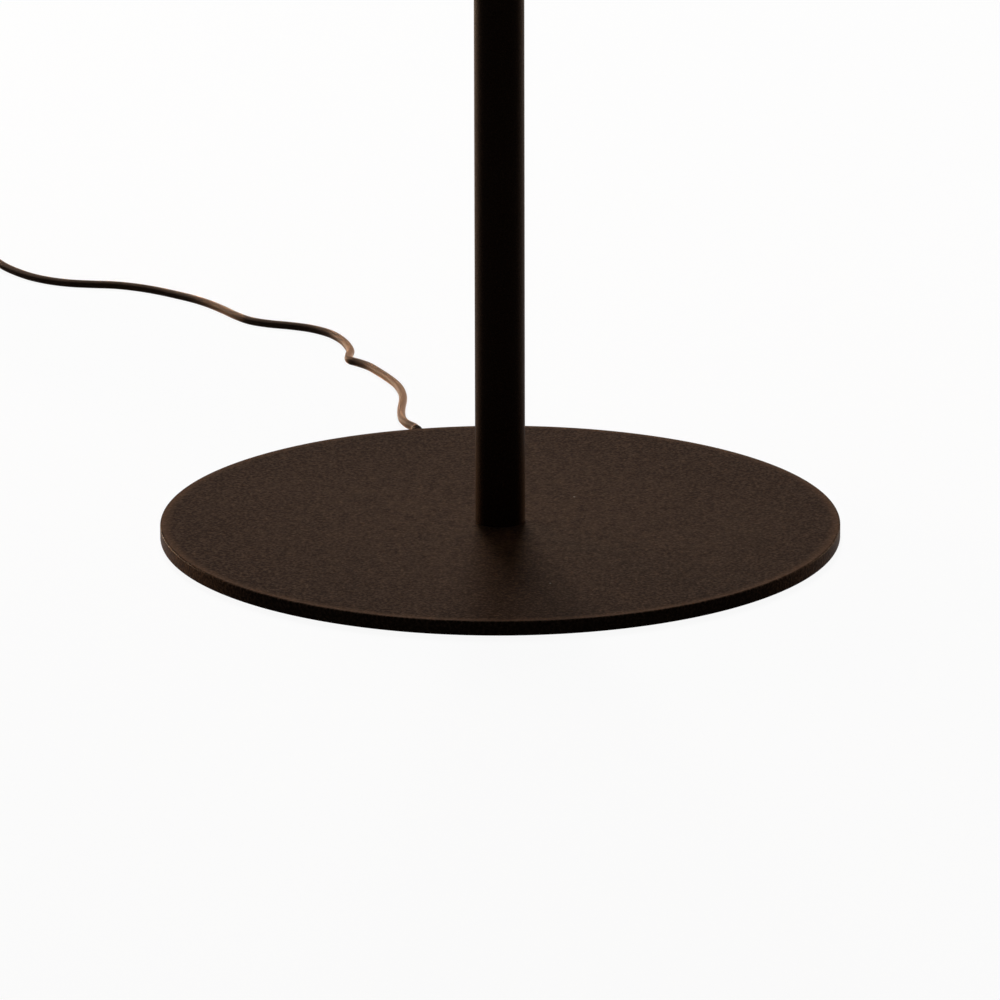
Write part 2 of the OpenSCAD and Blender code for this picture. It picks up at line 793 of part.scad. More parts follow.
// Head
module tilt_washers() {
    color("#d8d4c8")
        in_head()
            for (side = [-1, 1])
                translate([0, side * (tongue_t + tilt_washer_t) / 2 + tilt_washer_t / 2, 0])
                    rotate([90, 0, 0])
                        pipe(tongue_d, tilt_pin_d + 2 * run_gap, tilt_washer_t);
}

module head_stem() {
    color("#1a130d")
    in_head()
    difference() {
        union() {
            rotate([90, 0, 0])
                linear_extrude(height = tongue_t, center = true)
                    union() {
                        circle(d = tongue_d);
                        translate([-neck_w / 2, -stem_drop - collar_t / 2])
                            square([neck_w, stem_drop + collar_t / 2]);
                    }
            translate([0, 0, sink_top]) cylinder(d = collar_d, h = collar_t);
            translate([0, 0, sink_top - nipple_l]) cylinder(d = nipple_d, h = nipple_l + collar_t);
        }
        rotate([90, 0, 0]) cylinder(d = tilt_pin_d + 2 * run_gap, h = tongue_t + 2 * cut, center = true);
        translate([0, 0, sink_top - nipple_l - cut])
            cylinder(d = head_cable_d + 2 * way_gap, h = head_cable_top - sink_top + nipple_l + cut);
    }
}

module head_cable() {
    color("#e8e4da")
        in_head()
            translate([0, 0, board_top])
                cylinder(d = head_cable_d, h = head_cable_top - board_top);
}

module heat_sink() {
    core_r = sink_core_d / 2;
    foot_z = sink_bottom + sink_foot_t;
    fins = [
        for (i = [0 : fin_count - 1])
            let (z = sink_top - i * fin_pitch)
            each [[fin_d / 2, z], [fin_d / 2, z - fin_t], [core_r, z - fin_t], [core_r, z - fin_pitch]]
    ];
    color("#1a130d")
    in_head()
    difference() {
        rotate_extrude()
            polygon(concat(
                [[0, sink_top]], fins,
                [[sink_foot_d / 2, foot_z], [sink_foot_d / 2, sink_bottom], [0, sink_bottom]]
            ));
        translate([0, 0, sink_top - nipple_l - slide_gap])
            cylinder(d = nipple_d + 2 * fit_gap, h = nipple_l + slide_gap + cut);
        translate([0, 0, sink_bottom - cut])
            cylinder(d = head_cable_d + 2 * way_gap, h = sink_h - nipple_l + cut);
        on_screws()
            translate([0, 0, sink_bottom - cut])
                cylinder(d = screw_d + 2 * screw_play, h = sink_foot_t + 2 * cut, $fn = 48);
    }
}

module head_screws() {
    shank_l = sink_foot_t + shade_wall + carrier_t - slide_gap;
    color("#8c8c8a")
        in_head()
            on_screws()
                translate([0, 0, sink_bottom + sink_foot_t]) {
                    cylinder(d = screw_head_d, h = screw_head_h, $fn = 48);
                    translate([0, 0, -shank_l])
                        cylinder(d = screw_d, h = shank_l + screw_head_h / 2, $fn = 48);
                }
}

module shade() {
    shoulder_steps = 12;
    flat_r = shade_top_d / 2;
    inner_r = shade_shoulder_r - shade_wall;
    turns = [for (i = [0 : shoulder_steps]) shade_slope * i / shoulder_steps];
    slope_dir = [cos(shade_slope), -sin(shade_slope)];
    middle = [flat_r, sink_bottom - shade_shoulder_r];
    outside = [for (a = turns) middle + shade_shoulder_r * [sin(a), cos(a)]];
    inside = [for (i = [shoulder_steps : -1 : 0]) middle + inner_r * [sin(turns[i]), cos(turns[i])]];
    wall_end = [outside[shoulder_steps] + shade_wall_l * slope_dir, inside[0] + shade_wall_l * slope_dir];
    bead = (wall_end[0] + wall_end[1]) / 2;
    color("#1a130d")
    in_head()
    difference() {
        union() {
            rotate_extrude()
                polygon(concat(
                    [[0, sink_bottom]], outside, wall_end, inside, [[0, sink_bottom - shade_wall]]
                ));
            rotate_extrude() translate(bead) circle(d = shade_bead_d, $fn = 48);
        }
        translate([0, 0, sink_bottom - shade_wall - cut])
            cylinder(d = shade_hole_d, h = shade_wall + 2 * cut);
        on_screws()
            translate([0, 0, sink_bottom - shade_wall - cut])
                cylinder(d = screw_d + 2 * screw_play, h = shade_wall + 2 * cut, $fn = 48);
    }
}

module led_carrier() {
    color("#b5b2ab")
    in_head()
    difference() {
        translate([0, 0, board_top]) cylinder(d = carrier_d, h = carrier_t);
        translate([0, 0, board_top - cut])
            cylinder(d = head_cable_d + 2 * way_gap, h = carrier_t + 2 * cut);
        on_screws()
            translate([0, 0, board_top - cut])
                cylinder(d = screw_d + 2 * screw_play, h = carrier_t + 2 * cut, $fn = 48);
    }
}

module led_board() {
    color("#f2f0ea") in_head() translate([0, 0, chip_top]) cylinder(d = board_d, h = board_t);
}

module led_chips() {
    inner_count = floor(led_count / 2);
    rings = [[led_count, led_ring_r], [inner_count, led_ring_r / 2]];
    color("#f3dc7a")
        in_head()
            for (ring = rings)
                for (i = [0 : ring[0] - 1])
                    rotate(360 * i / ring[0])
                        translate([ring[1] - led_w / 2, -led_w / 2, chip_top - led_t])
                            cube([led_w, led_w, led_t]);
}

// Opal cup: a flange, a short wall and a shallow dome
module diffuser() {
    dome_steps = 10;
    wall_z = diffuser_lip_z - diffuser_wall_h;
    outer = diffuser_d / 2;
    inner = outer - diffuser_wall;
    outside = [
        for (i = [0 : dome_steps])
            let (a = 90 * i / dome_steps)
            [outer * cos(a), wall_z - dome_rise * sin(a)]
    ];
    inside = [
        for (i = [dome_steps : -1 : 0])
            let (a = 90 * i / dome_steps)
            [inner * cos(a), wall_z - (dome_rise - diffuser_wall) * sin(a)]
    ];
    color("#f4f1e8")
        in_head()
            rotate_extrude()
                polygon(concat(
                    [[inner, board_top], [diffuser_flange_d / 2, board_top]],
                    [[diffuser_flange_d / 2, diffuser_lip_z], [outer, diffuser_lip_z]],
                    outside, inside
                ));
}

module diffuser_ring() {
    seat_r = carrier_d / 2 + fit_gap;
    color("#f2f0ea")
        in_head()
            rotate_extrude()
                polygon([
                    [seat_r, board_top + ring_hold], [ring_d / 2, board_top + ring_hold],
                    [ring_d / 2, diffuser_lip_z - fit_gap - ring_lip_t],
                    [diffuser_d / 2 + fit_gap, diffuser_lip_z - fit_gap - ring_lip_t],
                    [diffuser_d / 2 + fit_gap, diffuser_lip_z - fit_gap], [seat_r, diffuser_lip_z - fit_gap]
                ]);
}

// Cord
module cord_relief() {
    bore_r = cord_r + fit_gap;
    color("#1c1713")
        to_exit()
            along_x(base_d / 2, cord_axis_z)
                rotate_extrude()
                    polygon([
                        [bore_r, -relief_seat_l], [relief_d / 2, -relief_seat_l], [relief_d / 2, 0],
                        [relief_tip_d / 2, relief_out_l], [bore_r, relief_out_l]
                    ]);
}

module cord_floor() {
    color("#3a2a20") swept_tube(floor_path, cord_r, cord_sides);
}

module cord_coil() {
    echo(least_gap_of_the_coil = least_gap(coil_loops, coil_steps / 2));
    color("#3a2a20") swept_tube(coil_path, cord_r, coil_sides);
}

module cord_tie() {
    low_r = coil_inner_r - cord_r - tie_side_gap;
    high_r = coil_r + cord_r + tie_side_gap;
    high_z = coil_end_z + cord_r + tie_gap;
    color("#1c1713")
        translate(raised(coil_middle, 0))
            rotate(tie_turn)
                translate([0, tie_w / 2, 0])
                    rotate([90, 0, 0])
                        linear_extrude(height = tie_w)
                            difference() {
                                translate([low_r - tie_t, 0])
                                    square([high_r - low_r + 2 * tie_t, high_z + tie_t]);
                                translate([low_r, tie_t]) square([high_r - low_r, high_z - tie_t]);
                            }
}

// Plug-in adapter that lies beside the coil: local +Y runs on from the cord's end
module at_adapter() {
    translate(raised(coil_end, 0)) rotate(coil_end_turn) children();
}

module adapter_outline(inset) {
    r = adapter_r - inset;
    w = adapter_w / 2 - adapter_r;
    union() {
        translate([-adapter_w / 2 + inset, adapter_r])
            square([adapter_w - 2 * inset, adapter_h - 2 * adapter_r]);
        translate([-w, inset]) square([2 * w, adapter_h - 2 * inset]);
        for (x = [-w, w]) for (y = [adapter_r, adapter_h - adapter_r]) translate([x, y]) circle(r = r);
    }
}

// Runs an outline in the upright plane along +Y from y0 to y1
module run_along_y(y0, y1) {
    translate([0, y1, 0]) rotate([90, 0, 0]) linear_extrude(height = y1 - y0) children();
}

module adapter_relief() {
    color("#1c1713")
        at_adapter()
            translate([0, 0, coil_end_z])
                rotate([-90, 0, 0])
                    cylinder(d1 = relief_tip_d, d2 = adapter_relief_d, h = adapter_relief_l);
}

// Outline that runs along +Y, with its first two corners rounded
module rounded_end(w, y0, y1, r) {
    union() {
        translate([-w / 2, y0 + r]) square([w, y1 - y0 - r]);
        translate([-w / 2 + r, y0]) square([w - 2 * r, r]);
        for (x = [r - w / 2, w / 2 - r]) translate([x, y0 + r]) circle(r = r);
    }
}

// The case is where its outlines from the front, from above and from the side meet
module adapter_case() {
    case_y = adapter_relief_l;
    case_end = case_y + adapter_l;
    color("#1c1713")
        at_adapter()
            intersection() {
                run_along_y(case_y, case_end) adapter_outline(0);
                linear_extrude(height = adapter_h) rounded_end(adapter_w, case_y, case_end, adapter_end_r);
                translate([-adapter_w / 2, 0, adapter_h / 2])
                    rotate([0, 90, 0])
                        linear_extrude(height = adapter_w)
                            rounded_end(adapter_h, case_y, case_end, adapter_end_r);
            }
}

module adapter_front() {
    front_y = adapter_relief_l + adapter_l;
    front_inset = 1.5;
    color("#1c1713")
        at_adapter()
            run_along_y(front_y, front_y + adapter_front_l) adapter_outline(front_inset);
}

module adapter_pins() {
    pins_y = adapter_relief_l + adapter_l + adapter_front_l;
    color("#b5b2ab")
        at_adapter()
            for (x = [-pin_spacing / 2, pin_spacing / 2])
                translate([x, pins_y, adapter_h / 2])
                    rotate([-90, 0, 0])
                        cylinder(d = pin_d, h = pin_l, $fn = 48);
}

base_plate();
base_pad();
base_stud();
pole_insert();
lower_tube();
tube_coupler();
upper_tube();
swivel_bush();
pole_cable();
swivel_hub();
dimmer_case();
dimmer_spindle();
dimmer_knob();
inner_tube();
inner_cable();
elbow_lower();
elbow_washer();
elbow_nut();
elbow_bolt();
elbow_knob();
elbow_upper();
outer_tube();
outer_cable();
tilt_fork();
tilt_nut();
tilt_pin();
tilt_knob();
tilt_washers();
head_stem();
head_cable();
heat_sink();
head_screws();
shade();
led_carrier();
led_board();
led_chips();
diffuser();
diffuser_ring();
cord_relief();
cord_floor();
cord_coil();
cord_tie();
adapter_relief();
adapter_case();
adapter_front();
adapter_pins();
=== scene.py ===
"""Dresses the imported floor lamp: finishes, fine shapes, cord, studio and camera.

Outlines and sizes are in millimetres, as in the part's source; meshes and the studio are in metres.
"""

from __future__ import annotations

import json
import logging
import math
from abc import ABC, abstractmethod
from dataclasses import dataclass
from enum import Enum
from functools import cache
from typing import Any, Optional, Sequence

import bmesh
import bpy
from bpy.types import Material, Mesh, Node, NodeSocket, NodeTree, Object, World
from mathutils import Matrix, Quaternion, Vector

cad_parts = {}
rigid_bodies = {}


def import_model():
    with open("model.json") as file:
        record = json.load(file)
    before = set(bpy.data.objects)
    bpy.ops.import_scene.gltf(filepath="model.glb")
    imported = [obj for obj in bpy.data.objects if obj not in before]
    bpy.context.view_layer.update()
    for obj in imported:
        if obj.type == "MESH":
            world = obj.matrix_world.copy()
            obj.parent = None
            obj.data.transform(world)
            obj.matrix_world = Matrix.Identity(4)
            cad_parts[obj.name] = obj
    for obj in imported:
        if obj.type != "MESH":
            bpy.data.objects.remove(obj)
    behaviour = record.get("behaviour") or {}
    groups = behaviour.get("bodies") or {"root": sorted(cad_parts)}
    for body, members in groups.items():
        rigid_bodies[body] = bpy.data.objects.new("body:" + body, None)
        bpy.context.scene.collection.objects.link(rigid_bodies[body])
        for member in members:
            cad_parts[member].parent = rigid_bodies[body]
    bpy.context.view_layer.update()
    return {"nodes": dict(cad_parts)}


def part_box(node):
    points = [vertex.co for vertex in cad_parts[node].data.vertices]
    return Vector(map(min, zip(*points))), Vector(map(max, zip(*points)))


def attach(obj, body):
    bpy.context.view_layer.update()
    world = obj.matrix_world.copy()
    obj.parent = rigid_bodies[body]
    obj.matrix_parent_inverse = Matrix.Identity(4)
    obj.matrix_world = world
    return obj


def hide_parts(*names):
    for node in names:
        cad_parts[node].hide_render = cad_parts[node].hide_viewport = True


LOG = logging.getLogger("floor_lamp")
MM = 0.001

Point = tuple[float, float]
Place = tuple[float, float, float]
Corner = tuple[float, float, float]
Colour = tuple[float, float, float, float]
Nodes = dict[str, Object]

# Sizes that several classes share
PLATE_R = 150.0
CORD_Z = 3.025
EXIT_TURN = 13.5
RELIEF_SEAT = 8.0
ELBOW_AXIS: Place = (220.0, 0.0, 0.0)
HEAD_AXIS: Place = (450.0, 0.0, 0.0)
TILT_AT: Place = (450.0, 0.0, 1286.1)
SHADE_TOP = -76.0

# Mesh settings
SHARP_ANGLE = 38.0
MERGE_GAP = 1e-6
CAST_PASSES = 6
BORE_EDGE = 0.2
RIM_EDGE = 0.3
ROUND_SHARE = 0.46
GUARD_REACH = 1.5
GUARD_SHARE = 1.04


class Body(str, Enum):
    """The lamp's moving bodies."""

    STAND = "stand"
    INNER_ARM = "inner_arm"
    DIMMER = "dimmer"
    OUTER_ARM = "outer_arm"
    ELBOW_CLAMP = "elbow_clamp"
    TILT_CLAMP = "tilt_clamp"
    HEAD = "head"


class Slot(str, Enum):
    """The record's material slots. No piece in this script is given one."""

    COAT = "bronze_coat"
    SINK = "bronze_sink"
    STEEL = "plain_steel"
    DARK_NYLON = "dark_nylon"
    PALE_NYLON = "pale_nylon"
    SHEATH = "brown_sheath"
    OPAL = "opal_plastic"
    RING = "white_ring"
    PINS = "plug_nickel"


class Axis(Enum):
    """The way a turned piece's axis points, as a turn from +Z."""

    UP = Matrix.Identity(4)
    ALONG_X = Matrix.Rotation(math.radians(90), 4, "Y")
    ALONG_MINUS_Y = Matrix.Rotation(math.radians(90), 4, "X")


# Colours and node trees


def tint(code: str) -> Colour:
    """Turns a colour as it looks on a screen into the linear one that shaders take.

    Args:
        code: six hexadecimal digits.

    Returns:
        The linear colour with an alpha of 1.
    """
    shares = [int(code[i : i + 2], 16) / 255 for i in (0, 2, 4)]
    red, green, blue = (
        s / 12.92 if s <= 0.04045 else ((s + 0.055) / 1.055) ** 2.4 for s in shares
    )
    return red, green, blue, 1.0


def emptied(owner: Material | World) -> NodeTree:
    """Takes all nodes out of a material or a world.

    Args:
        owner: the material or world.

    Returns:
        Its empty node tree.
    """
    owner.use_nodes = True
    owner.node_tree.nodes.clear()
    return owner.node_tree


class Graph:
    """A node tree that is filled in step by step."""

    def __init__(self, tree: NodeTree) -> None:
        """Takes the tree to fill."""
        self.tree = tree

    def put(self, socket: NodeSocket, value: Any) -> None:
        """Links an output to an input, or sets the input's own value.

        Args:
            socket: the input.
            value: the output or the value.
        """
        if isinstance(value, NodeSocket):
            self.tree.links.new(value, socket)
        else:
            socket.default_value = value

    def add(
        self, kind: str, inputs: Optional[dict[Any, Any]] = None, **settings: Any
    ) -> Node:
        """Adds a node.

        Args:
            kind: Blender's name for the type of node.
            inputs: a value or an output for each input, by its name or number.
            settings: the node's own properties.

        Returns:
            The new node.
        """
        node = self.tree.nodes.new(kind)
        for key, value in settings.items():
            setattr(node, key, value)
        for key, value in (inputs or {}).items():
            self.put(node.inputs[key], value)
        return node

    def math(self, operation: str, *values: Any) -> NodeSocket:
        """Adds a Math node and gives its result."""
        return self.add("ShaderNodeMath", dict(enumerate(values)), operation=operation).outputs[0]

    def times(self, first: Any, second: Any) -> NodeSocket:
        """Multiplies two values."""
        return self.math("MULTIPLY", first, second)

    def span(
        self, value: Any, low: float, high: float, to_low: Any = 0.0, to_high: Any = 1.0
    ) -> NodeSocket:
        """Maps a range softly onto another and gives the result."""
        inputs = {0: value, 1: low, 2: high, 3: to_low, 4: to_high}
        return self.add("ShaderNodeMapRange", inputs, interpolation_type="SMOOTHSTEP").outputs[0]

    def blend(self, factor: Any, first: Any, second: Any) -> NodeSocket:
        """Mixes two colours and gives the result."""
        inputs = {0: factor, 6: first, 7: second}
        return self.add("ShaderNodeMix", inputs, data_type="RGBA").outputs[2]

    def noise(
        self, vector: Any, scale: Any, detail: float = 2.0, rough: float = 0.5
    ) -> NodeSocket:
        """Adds a noise texture and gives its value."""
        inputs = {"Vector": vector, "Scale": scale, "Detail": detail, "Roughness": rough}
        return self.add("ShaderNodeTexNoise", inputs).outputs[0]

    def cloud(self, vector: Any, scale: Any) -> NodeSocket:
        """Gives soft patches between 0 and 1."""
        return self.span(self.noise(vector, scale, detail=3.0, rough=0.6), 0.3, 0.7)

    def parts(self, vector: Any) -> Any:
        """Gives a vector's three numbers."""
        return self.add("ShaderNodeSeparateXYZ", {0: vector}).outputs

    def join(self, x: Any = 0.0, y: Any = 0.0, z: Any = 0.0) -> NodeSocket:
        """Makes a vector of three numbers."""
        return self.add("ShaderNodeCombineXYZ", {0: x, 1: y, 2: z}).outputs[0]

    def length(self, vector: Any) -> NodeSocket:
        """Gives a vector's length."""
        return self.add("ShaderNodeVectorMath", {0: vector}, operation="LENGTH").outputs["Value"]

    def radius(self, vector: Any) -> NodeSocket:
        """Gives the distance from the Z axis."""
        inputs = {0: vector, 1: (1.0, 1.0, 0.0)}
        return self.length(self.add("ShaderNodeVectorMath", inputs, operation="MULTIPLY").outputs[0])

    def group(self, tree: NodeTree, **inputs: Any) -> Any:
        """Places a shared effect with its own values and gives what it puts out."""
        return self.add("ShaderNodeGroup", inputs, node_tree=tree).outputs


class Surface(Graph):
    """A material's node tree, with its shader and Object coordinates."""

    def __init__(self, material: Material) -> None:
        """Empties the material and adds its shader.

        Args:
            material: the material.
        """
        super().__init__(emptied(material))
        self.shader = self.add("ShaderNodeBsdfPrincipled")
        self.add("ShaderNodeOutputMaterial", {"Surface": self.shader.outputs[0]})
        self.where = self.add("ShaderNodeTexCoord").outputs["Object"]

    def feed(self, values: dict[str, Any]) -> None:
        """Sets or links the shader's inputs by their names."""
        for key, value in values.items():
            self.put(self.shader.inputs[key], value)

    def stain(self, colour: Any, mask: Any, amount: float, over: str) -> NodeSocket:
        """Lays a colour over another where a mask shows it."""
        return self.blend(self.times(mask, amount), colour, tint(over))

    def rough(
        self, middle: float, swing: float, mask: Any, smudge: Any, smear: float
    ) -> NodeSocket:
        """Gives a roughness that swings with a mask and changes under smudges."""
        varied = self.span(mask, 0.0, 1.0, middle - swing, middle + swing)
        return self.math("MULTIPLY_ADD", smudge, smear, varied)

    def bump(self, height: Any, depth: float) -> None:
        """Feeds the shader's normal from a height, with a relief of some millimetres."""
        inputs = {"Height": height, "Distance": depth * MM, "Strength": 1.0}
        self.feed({"Normal": self.add("ShaderNodeBump", inputs).outputs[0]})


class Effects:
    """Shader node groups that several finishes share, each built once."""

    @staticmethod
    def start(
        name: str, inputs: dict[str, Optional[float]], outputs: Sequence[str]
    ) -> tuple[Graph, Any, Any]:
        """Starts a shader node group.

        Args:
            name: the group's name.
            inputs: each input's default, or None for a vector.
            outputs: the names of the values that it puts out.

        Returns:
            The graph, the values that come in and the sockets that lead out.
        """
        tree = bpy.data.node_groups.new(name, "ShaderNodeTree")
        for key, value in inputs.items():
            kind = "NodeSocketVector" if value is None else "NodeSocketFloat"
            socket = tree.interface.new_socket(key, in_out="INPUT", socket_type=kind)
            if value is not None:
                socket.default_value = value
        for key in outputs:
            tree.interface.new_socket(key, in_out="OUTPUT", socket_type="NodeSocketFloat")
        graph = Graph(tree)
        return graph, graph.add("NodeGroupInput").outputs, graph.add("NodeGroupOutput").inputs

    @classmethod
    @cache
    def coat_grain(cls) -> NodeTree:
        """Fine grain of a textured coat: flecks of colour and a height.

        Returns:
            The group.
        """
        inputs = {"Vector": None, "Grain": 1500.0}
        graph, given, out = cls.start("Coat grain", inputs, ("Fleck", "Height"))
        fine = graph.noise(given["Vector"], given["Grain"], detail=3.0, rough=0.6)
        inputs = {"Vector": given["Vector"], "Scale": given["Grain"]}
        cells = graph.add("ShaderNodeTexVoronoi", inputs, feature="SMOOTH_F1")
        beads = graph.span(cells.outputs["Distance"], 0.1, 0.75, 1.0, 0.0)
        graph.put(out["Fleck"], graph.span(fine, 0.36, 0.86))
        graph.put(out["Height"], graph.math("MULTIPLY_ADD", beads, 0.6, fine))
        return graph.tree

    @classmethod
    @cache
    def handling(cls) -> NodeTree:
        """Marks of use: soft smudges and a few pale specks of dust.

        Returns:
            The group.
        """
        inputs = {"Vector": None, "Patch": 14.0, "Speck": 90.0}
        graph, given, out = cls.start("Handling", inputs, ("Smudge", "Dust"))
        where, patch = given["Vector"], given["Patch"]
        broad = graph.span(graph.noise(where, patch, detail=3.0, rough=0.55), 0.45, 0.75)
        streaks = graph.noise(where, graph.times(patch, 6.0), detail=4.0, rough=0.6)
        graph.put(out["Smudge"], graph.times(broad, graph.span(streaks, 0.3, 0.8)))
        inputs = {"Vector": where, "Scale": given["Speck"]}
        cells = graph.add("ShaderNodeTexVoronoi", inputs).outputs
        lot = graph.add("ShaderNodeSeparateColor", {0: cells["Color"]}).outputs[0]
        chosen = graph.math("GREATER_THAN", lot, 0.93)
        spot = graph.span(cells["Distance"], 0.02, 0.06, 1.0, 0.0)
        graph.put(out["Dust"], graph.times(chosen, spot))
        return graph.tree

    @classmethod
    @cache
    def worn_edge(cls) -> NodeTree:
        """Edges that hands and cloths have polished, from the mesh's pointiness.

        Returns:
            The group.
        """
        inputs = {"Vector": None, "Pointiness": 0.5, "Start": 0.53, "Full": 0.62, "Break": 160.0}
        graph, given, out = cls.start("Worn edge", inputs, ("Wear",))
        inputs = {0: given["Pointiness"], 1: given["Start"], 2: given["Full"]}
        edge = graph.add("ShaderNodeMapRange", inputs).outputs[0]
        gaps = graph.cloud(given["Vector"], given["Break"])
        graph.put(out["Wear"], graph.times(edge, gaps))
        return graph.tree

    @classmethod
    @cache
    def turned_marks(cls) -> NodeTree:
        """Fine rings that a lathe leaves round the Z axis of its vector.

        Returns:
            The group.
        """
        inputs = {"Vector": None, "Rings": 2200.0}
        graph, given, out = cls.start("Turned marks", inputs, ("Ring", "Height"))
        where = given["Vector"]
        place = graph.join(graph.radius(where), graph.parts(where)[2])
        rings = graph.noise(place, given["Rings"], rough=0.6)
        graph.put(out["Ring"], graph.span(rings, 0.3, 0.7))
        graph.put(out["Height"], rings)
        return graph.tree


# Finishes


@dataclass(frozen=True)
class Finish(ABC):
    """A procedural material that is built when it is first asked for."""

    name: str

    @cache
    def material(self) -> Material:
        """Gives the material, and builds it at the first call.

        Returns:
            The material.
        """
        made = bpy.data.materials.new(self.name)
        self.dress(Surface(made))
        return made

    @abstractmethod
    def dress(self, paint: Surface) -> None:
        """Adds the nodes that feed the shader.

        Args:
            paint: the material's node tree.
        """


@dataclass(frozen=True)
class Coat(Finish):
    """Textured powder coat: grain, marks of use, polished edges and, where a rim is given, a painted
    highlight along it.
    """

    colour: str = "241810"
    fleck: str = "4e392b"
    mottle: float = 0.6
    rough: float = 0.42
    specular: float = 0.009
    grain: float = 1700.0
    depth: float = 0.06
    smudge: float = 0.4
    smudge_tint: str = "6a5a4c"
    dust: float = 0.0
    dust_tint: str = "b0a698"
    wear: float = 0.35
    wear_tint: str = "6b5442"
    # Radius of a round plate's rim that gets a painted highlight, 0 for none, and the highlight's colour
    rim: float = 0.0
    rim_highlight_tint: str = "7a5c48"

    def rim_highlight(self, paint: Surface) -> NodeSocket:
        """Gives the share of a painted highlight along the top edge of a round plate, where light catches the
        rounded rim.

        Args:
            paint: the material's node tree.

        Returns:
            The share.
        """
        reach = paint.radius(paint.where)
        rise = paint.span(reach, (self.rim - 6.0) * MM, self.rim * MM, 0.0, 0.4)
        end = paint.span(reach, (self.rim - 1.0) * MM, (self.rim - 0.3) * MM, 1.0, 0.0)
        return paint.times(rise, end)

    def dress(self, paint: Surface) -> None:
        """Feeds colour, roughness and normal.

        Args:
            paint: the material's node tree.
        """
        where = paint.where
        grain = paint.group(Effects.coat_grain(), Vector=where, Grain=self.grain)
        marks = paint.group(Effects.handling(), Vector=where)
        point = paint.add("ShaderNodeNewGeometry").outputs["Pointiness"]
        edge = paint.group(Effects.worn_edge(), Vector=where, Pointiness=point)["Wear"]
        colour = paint.stain(tint(self.colour), grain["Fleck"], self.mottle, self.fleck)
        colour = paint.stain(colour, marks["Smudge"], 0.25 * self.smudge, self.smudge_tint)
        colour = paint.stain(colour, marks["Dust"], self.dust, self.dust_tint)
        colour = paint.stain(colour, edge, self.wear, self.wear_tint)
        # Painted highlight: a lighter band along the plate's rim, where light catches the edge
        if self.rim:
            colour = paint.blend(self.rim_highlight(paint), colour, tint(self.rim_highlight_tint))
        rough = paint.span(grain["Fleck"], 0.0, 1.0, self.rough - 0.04, self.rough + 0.05)
        rough = paint.math("MULTIPLY_ADD", marks["Smudge"], 0.12 * self.smudge, rough)
        rough = paint.math("MULTIPLY_ADD", edge, -0.1 * self.wear, rough)
        paint.feed({"Base Color": colour, "Roughness": rough, "Specular IOR Level": self.specular})
        paint.bump(grain["Height"], self.depth)


@dataclass(frozen=True)
class Moulded(Finish):
    """Moulded plastic or rubber with a fine spark-eroded grain."""

    colour: str = "1d1916"
    shift: str = "2c2621"
    rough: float = 0.55
    specular: float = 0.4
    grain: float = 2600.0
    depth: float = 0.03
    dust: float = 0.3
    dust_tint: str = "8d857b"
    patch: float = 30.0
    cloud: float = 60.0
    glow: float = 0.0
    glow_reach: Place = (4.0, 4.0, 3.5)

    def dress(self, paint: Surface) -> None:
        """Feeds colour, roughness and normal, and lets light into opal plastic.

        Args:
            paint: the material's node tree.
        """
        grain = paint.group(Effects.coat_grain(), Vector=paint.where, Grain=self.grain)
        smudge = paint.group(Effects.handling(), Vector=paint.where, Patch=self.patch)["Smudge"]
        cloud = paint.cloud(paint.where, self.cloud)
        colour = paint.blend(cloud, tint(self.colour), tint(self.shift))
        colour = paint.stain(colour, smudge, 0.2 * self.dust, self.dust_tint)
        rough = paint.rough(self.rough, 0.05, grain["Fleck"], smudge, 0.1)
        paint.feed({"Base Color": colour, "Roughness": rough, "Specular IOR Level": self.specular})
        if self.glow:
            reach = tuple(c * MM for c in self.glow_reach)
            paint.feed({"Subsurface Weight": self.glow, "Subsurface Radius": reach, "Subsurface Scale": 1.0})
        paint.bump(grain["Height"], self.depth)


@dataclass(frozen=True)
class Metal(Finish):
    """Turned metal, bare or anodised, with rings round its axis."""

    colour: str = "a9a7a2"
    shift: str = "8b8984"
    rough: float = 0.34
    metallic: float = 1.0
    rings: float = 2200.0
    patch: float = 40.0
    depth: float = 0.02
    centre: Place = (0.0, 0.0, 0.0)
    lean: Place = (0.0, 0.0, 0.0)

    def dress(self, paint: Surface) -> None:
        """Feeds colour, roughness, metal and normal.

        Args:
            paint: the material's node tree.
        """
        inputs = {
            "Vector": paint.where,
            "Location": tuple(c * MM for c in self.centre),
            "Rotation": tuple(math.radians(a) for a in self.lean),
        }
        local = paint.add("ShaderNodeMapping", inputs, vector_type="TEXTURE").outputs[0]
        marks = paint.group(Effects.turned_marks(), Vector=local, Rings=self.rings)
        smudge = paint.group(Effects.handling(), Vector=paint.where, Patch=self.patch)["Smudge"]
        colour = paint.blend(marks["Ring"], tint(self.colour), tint(self.shift))
        colour = paint.stain(colour, smudge, 0.3, self.shift)
        rough = paint.rough(self.rough, 0.06, marks["Ring"], smudge, 0.15)
        paint.feed({"Base Color": colour, "Roughness": rough, "Metallic": self.metallic})
        paint.bump(marks["Height"], self.depth)


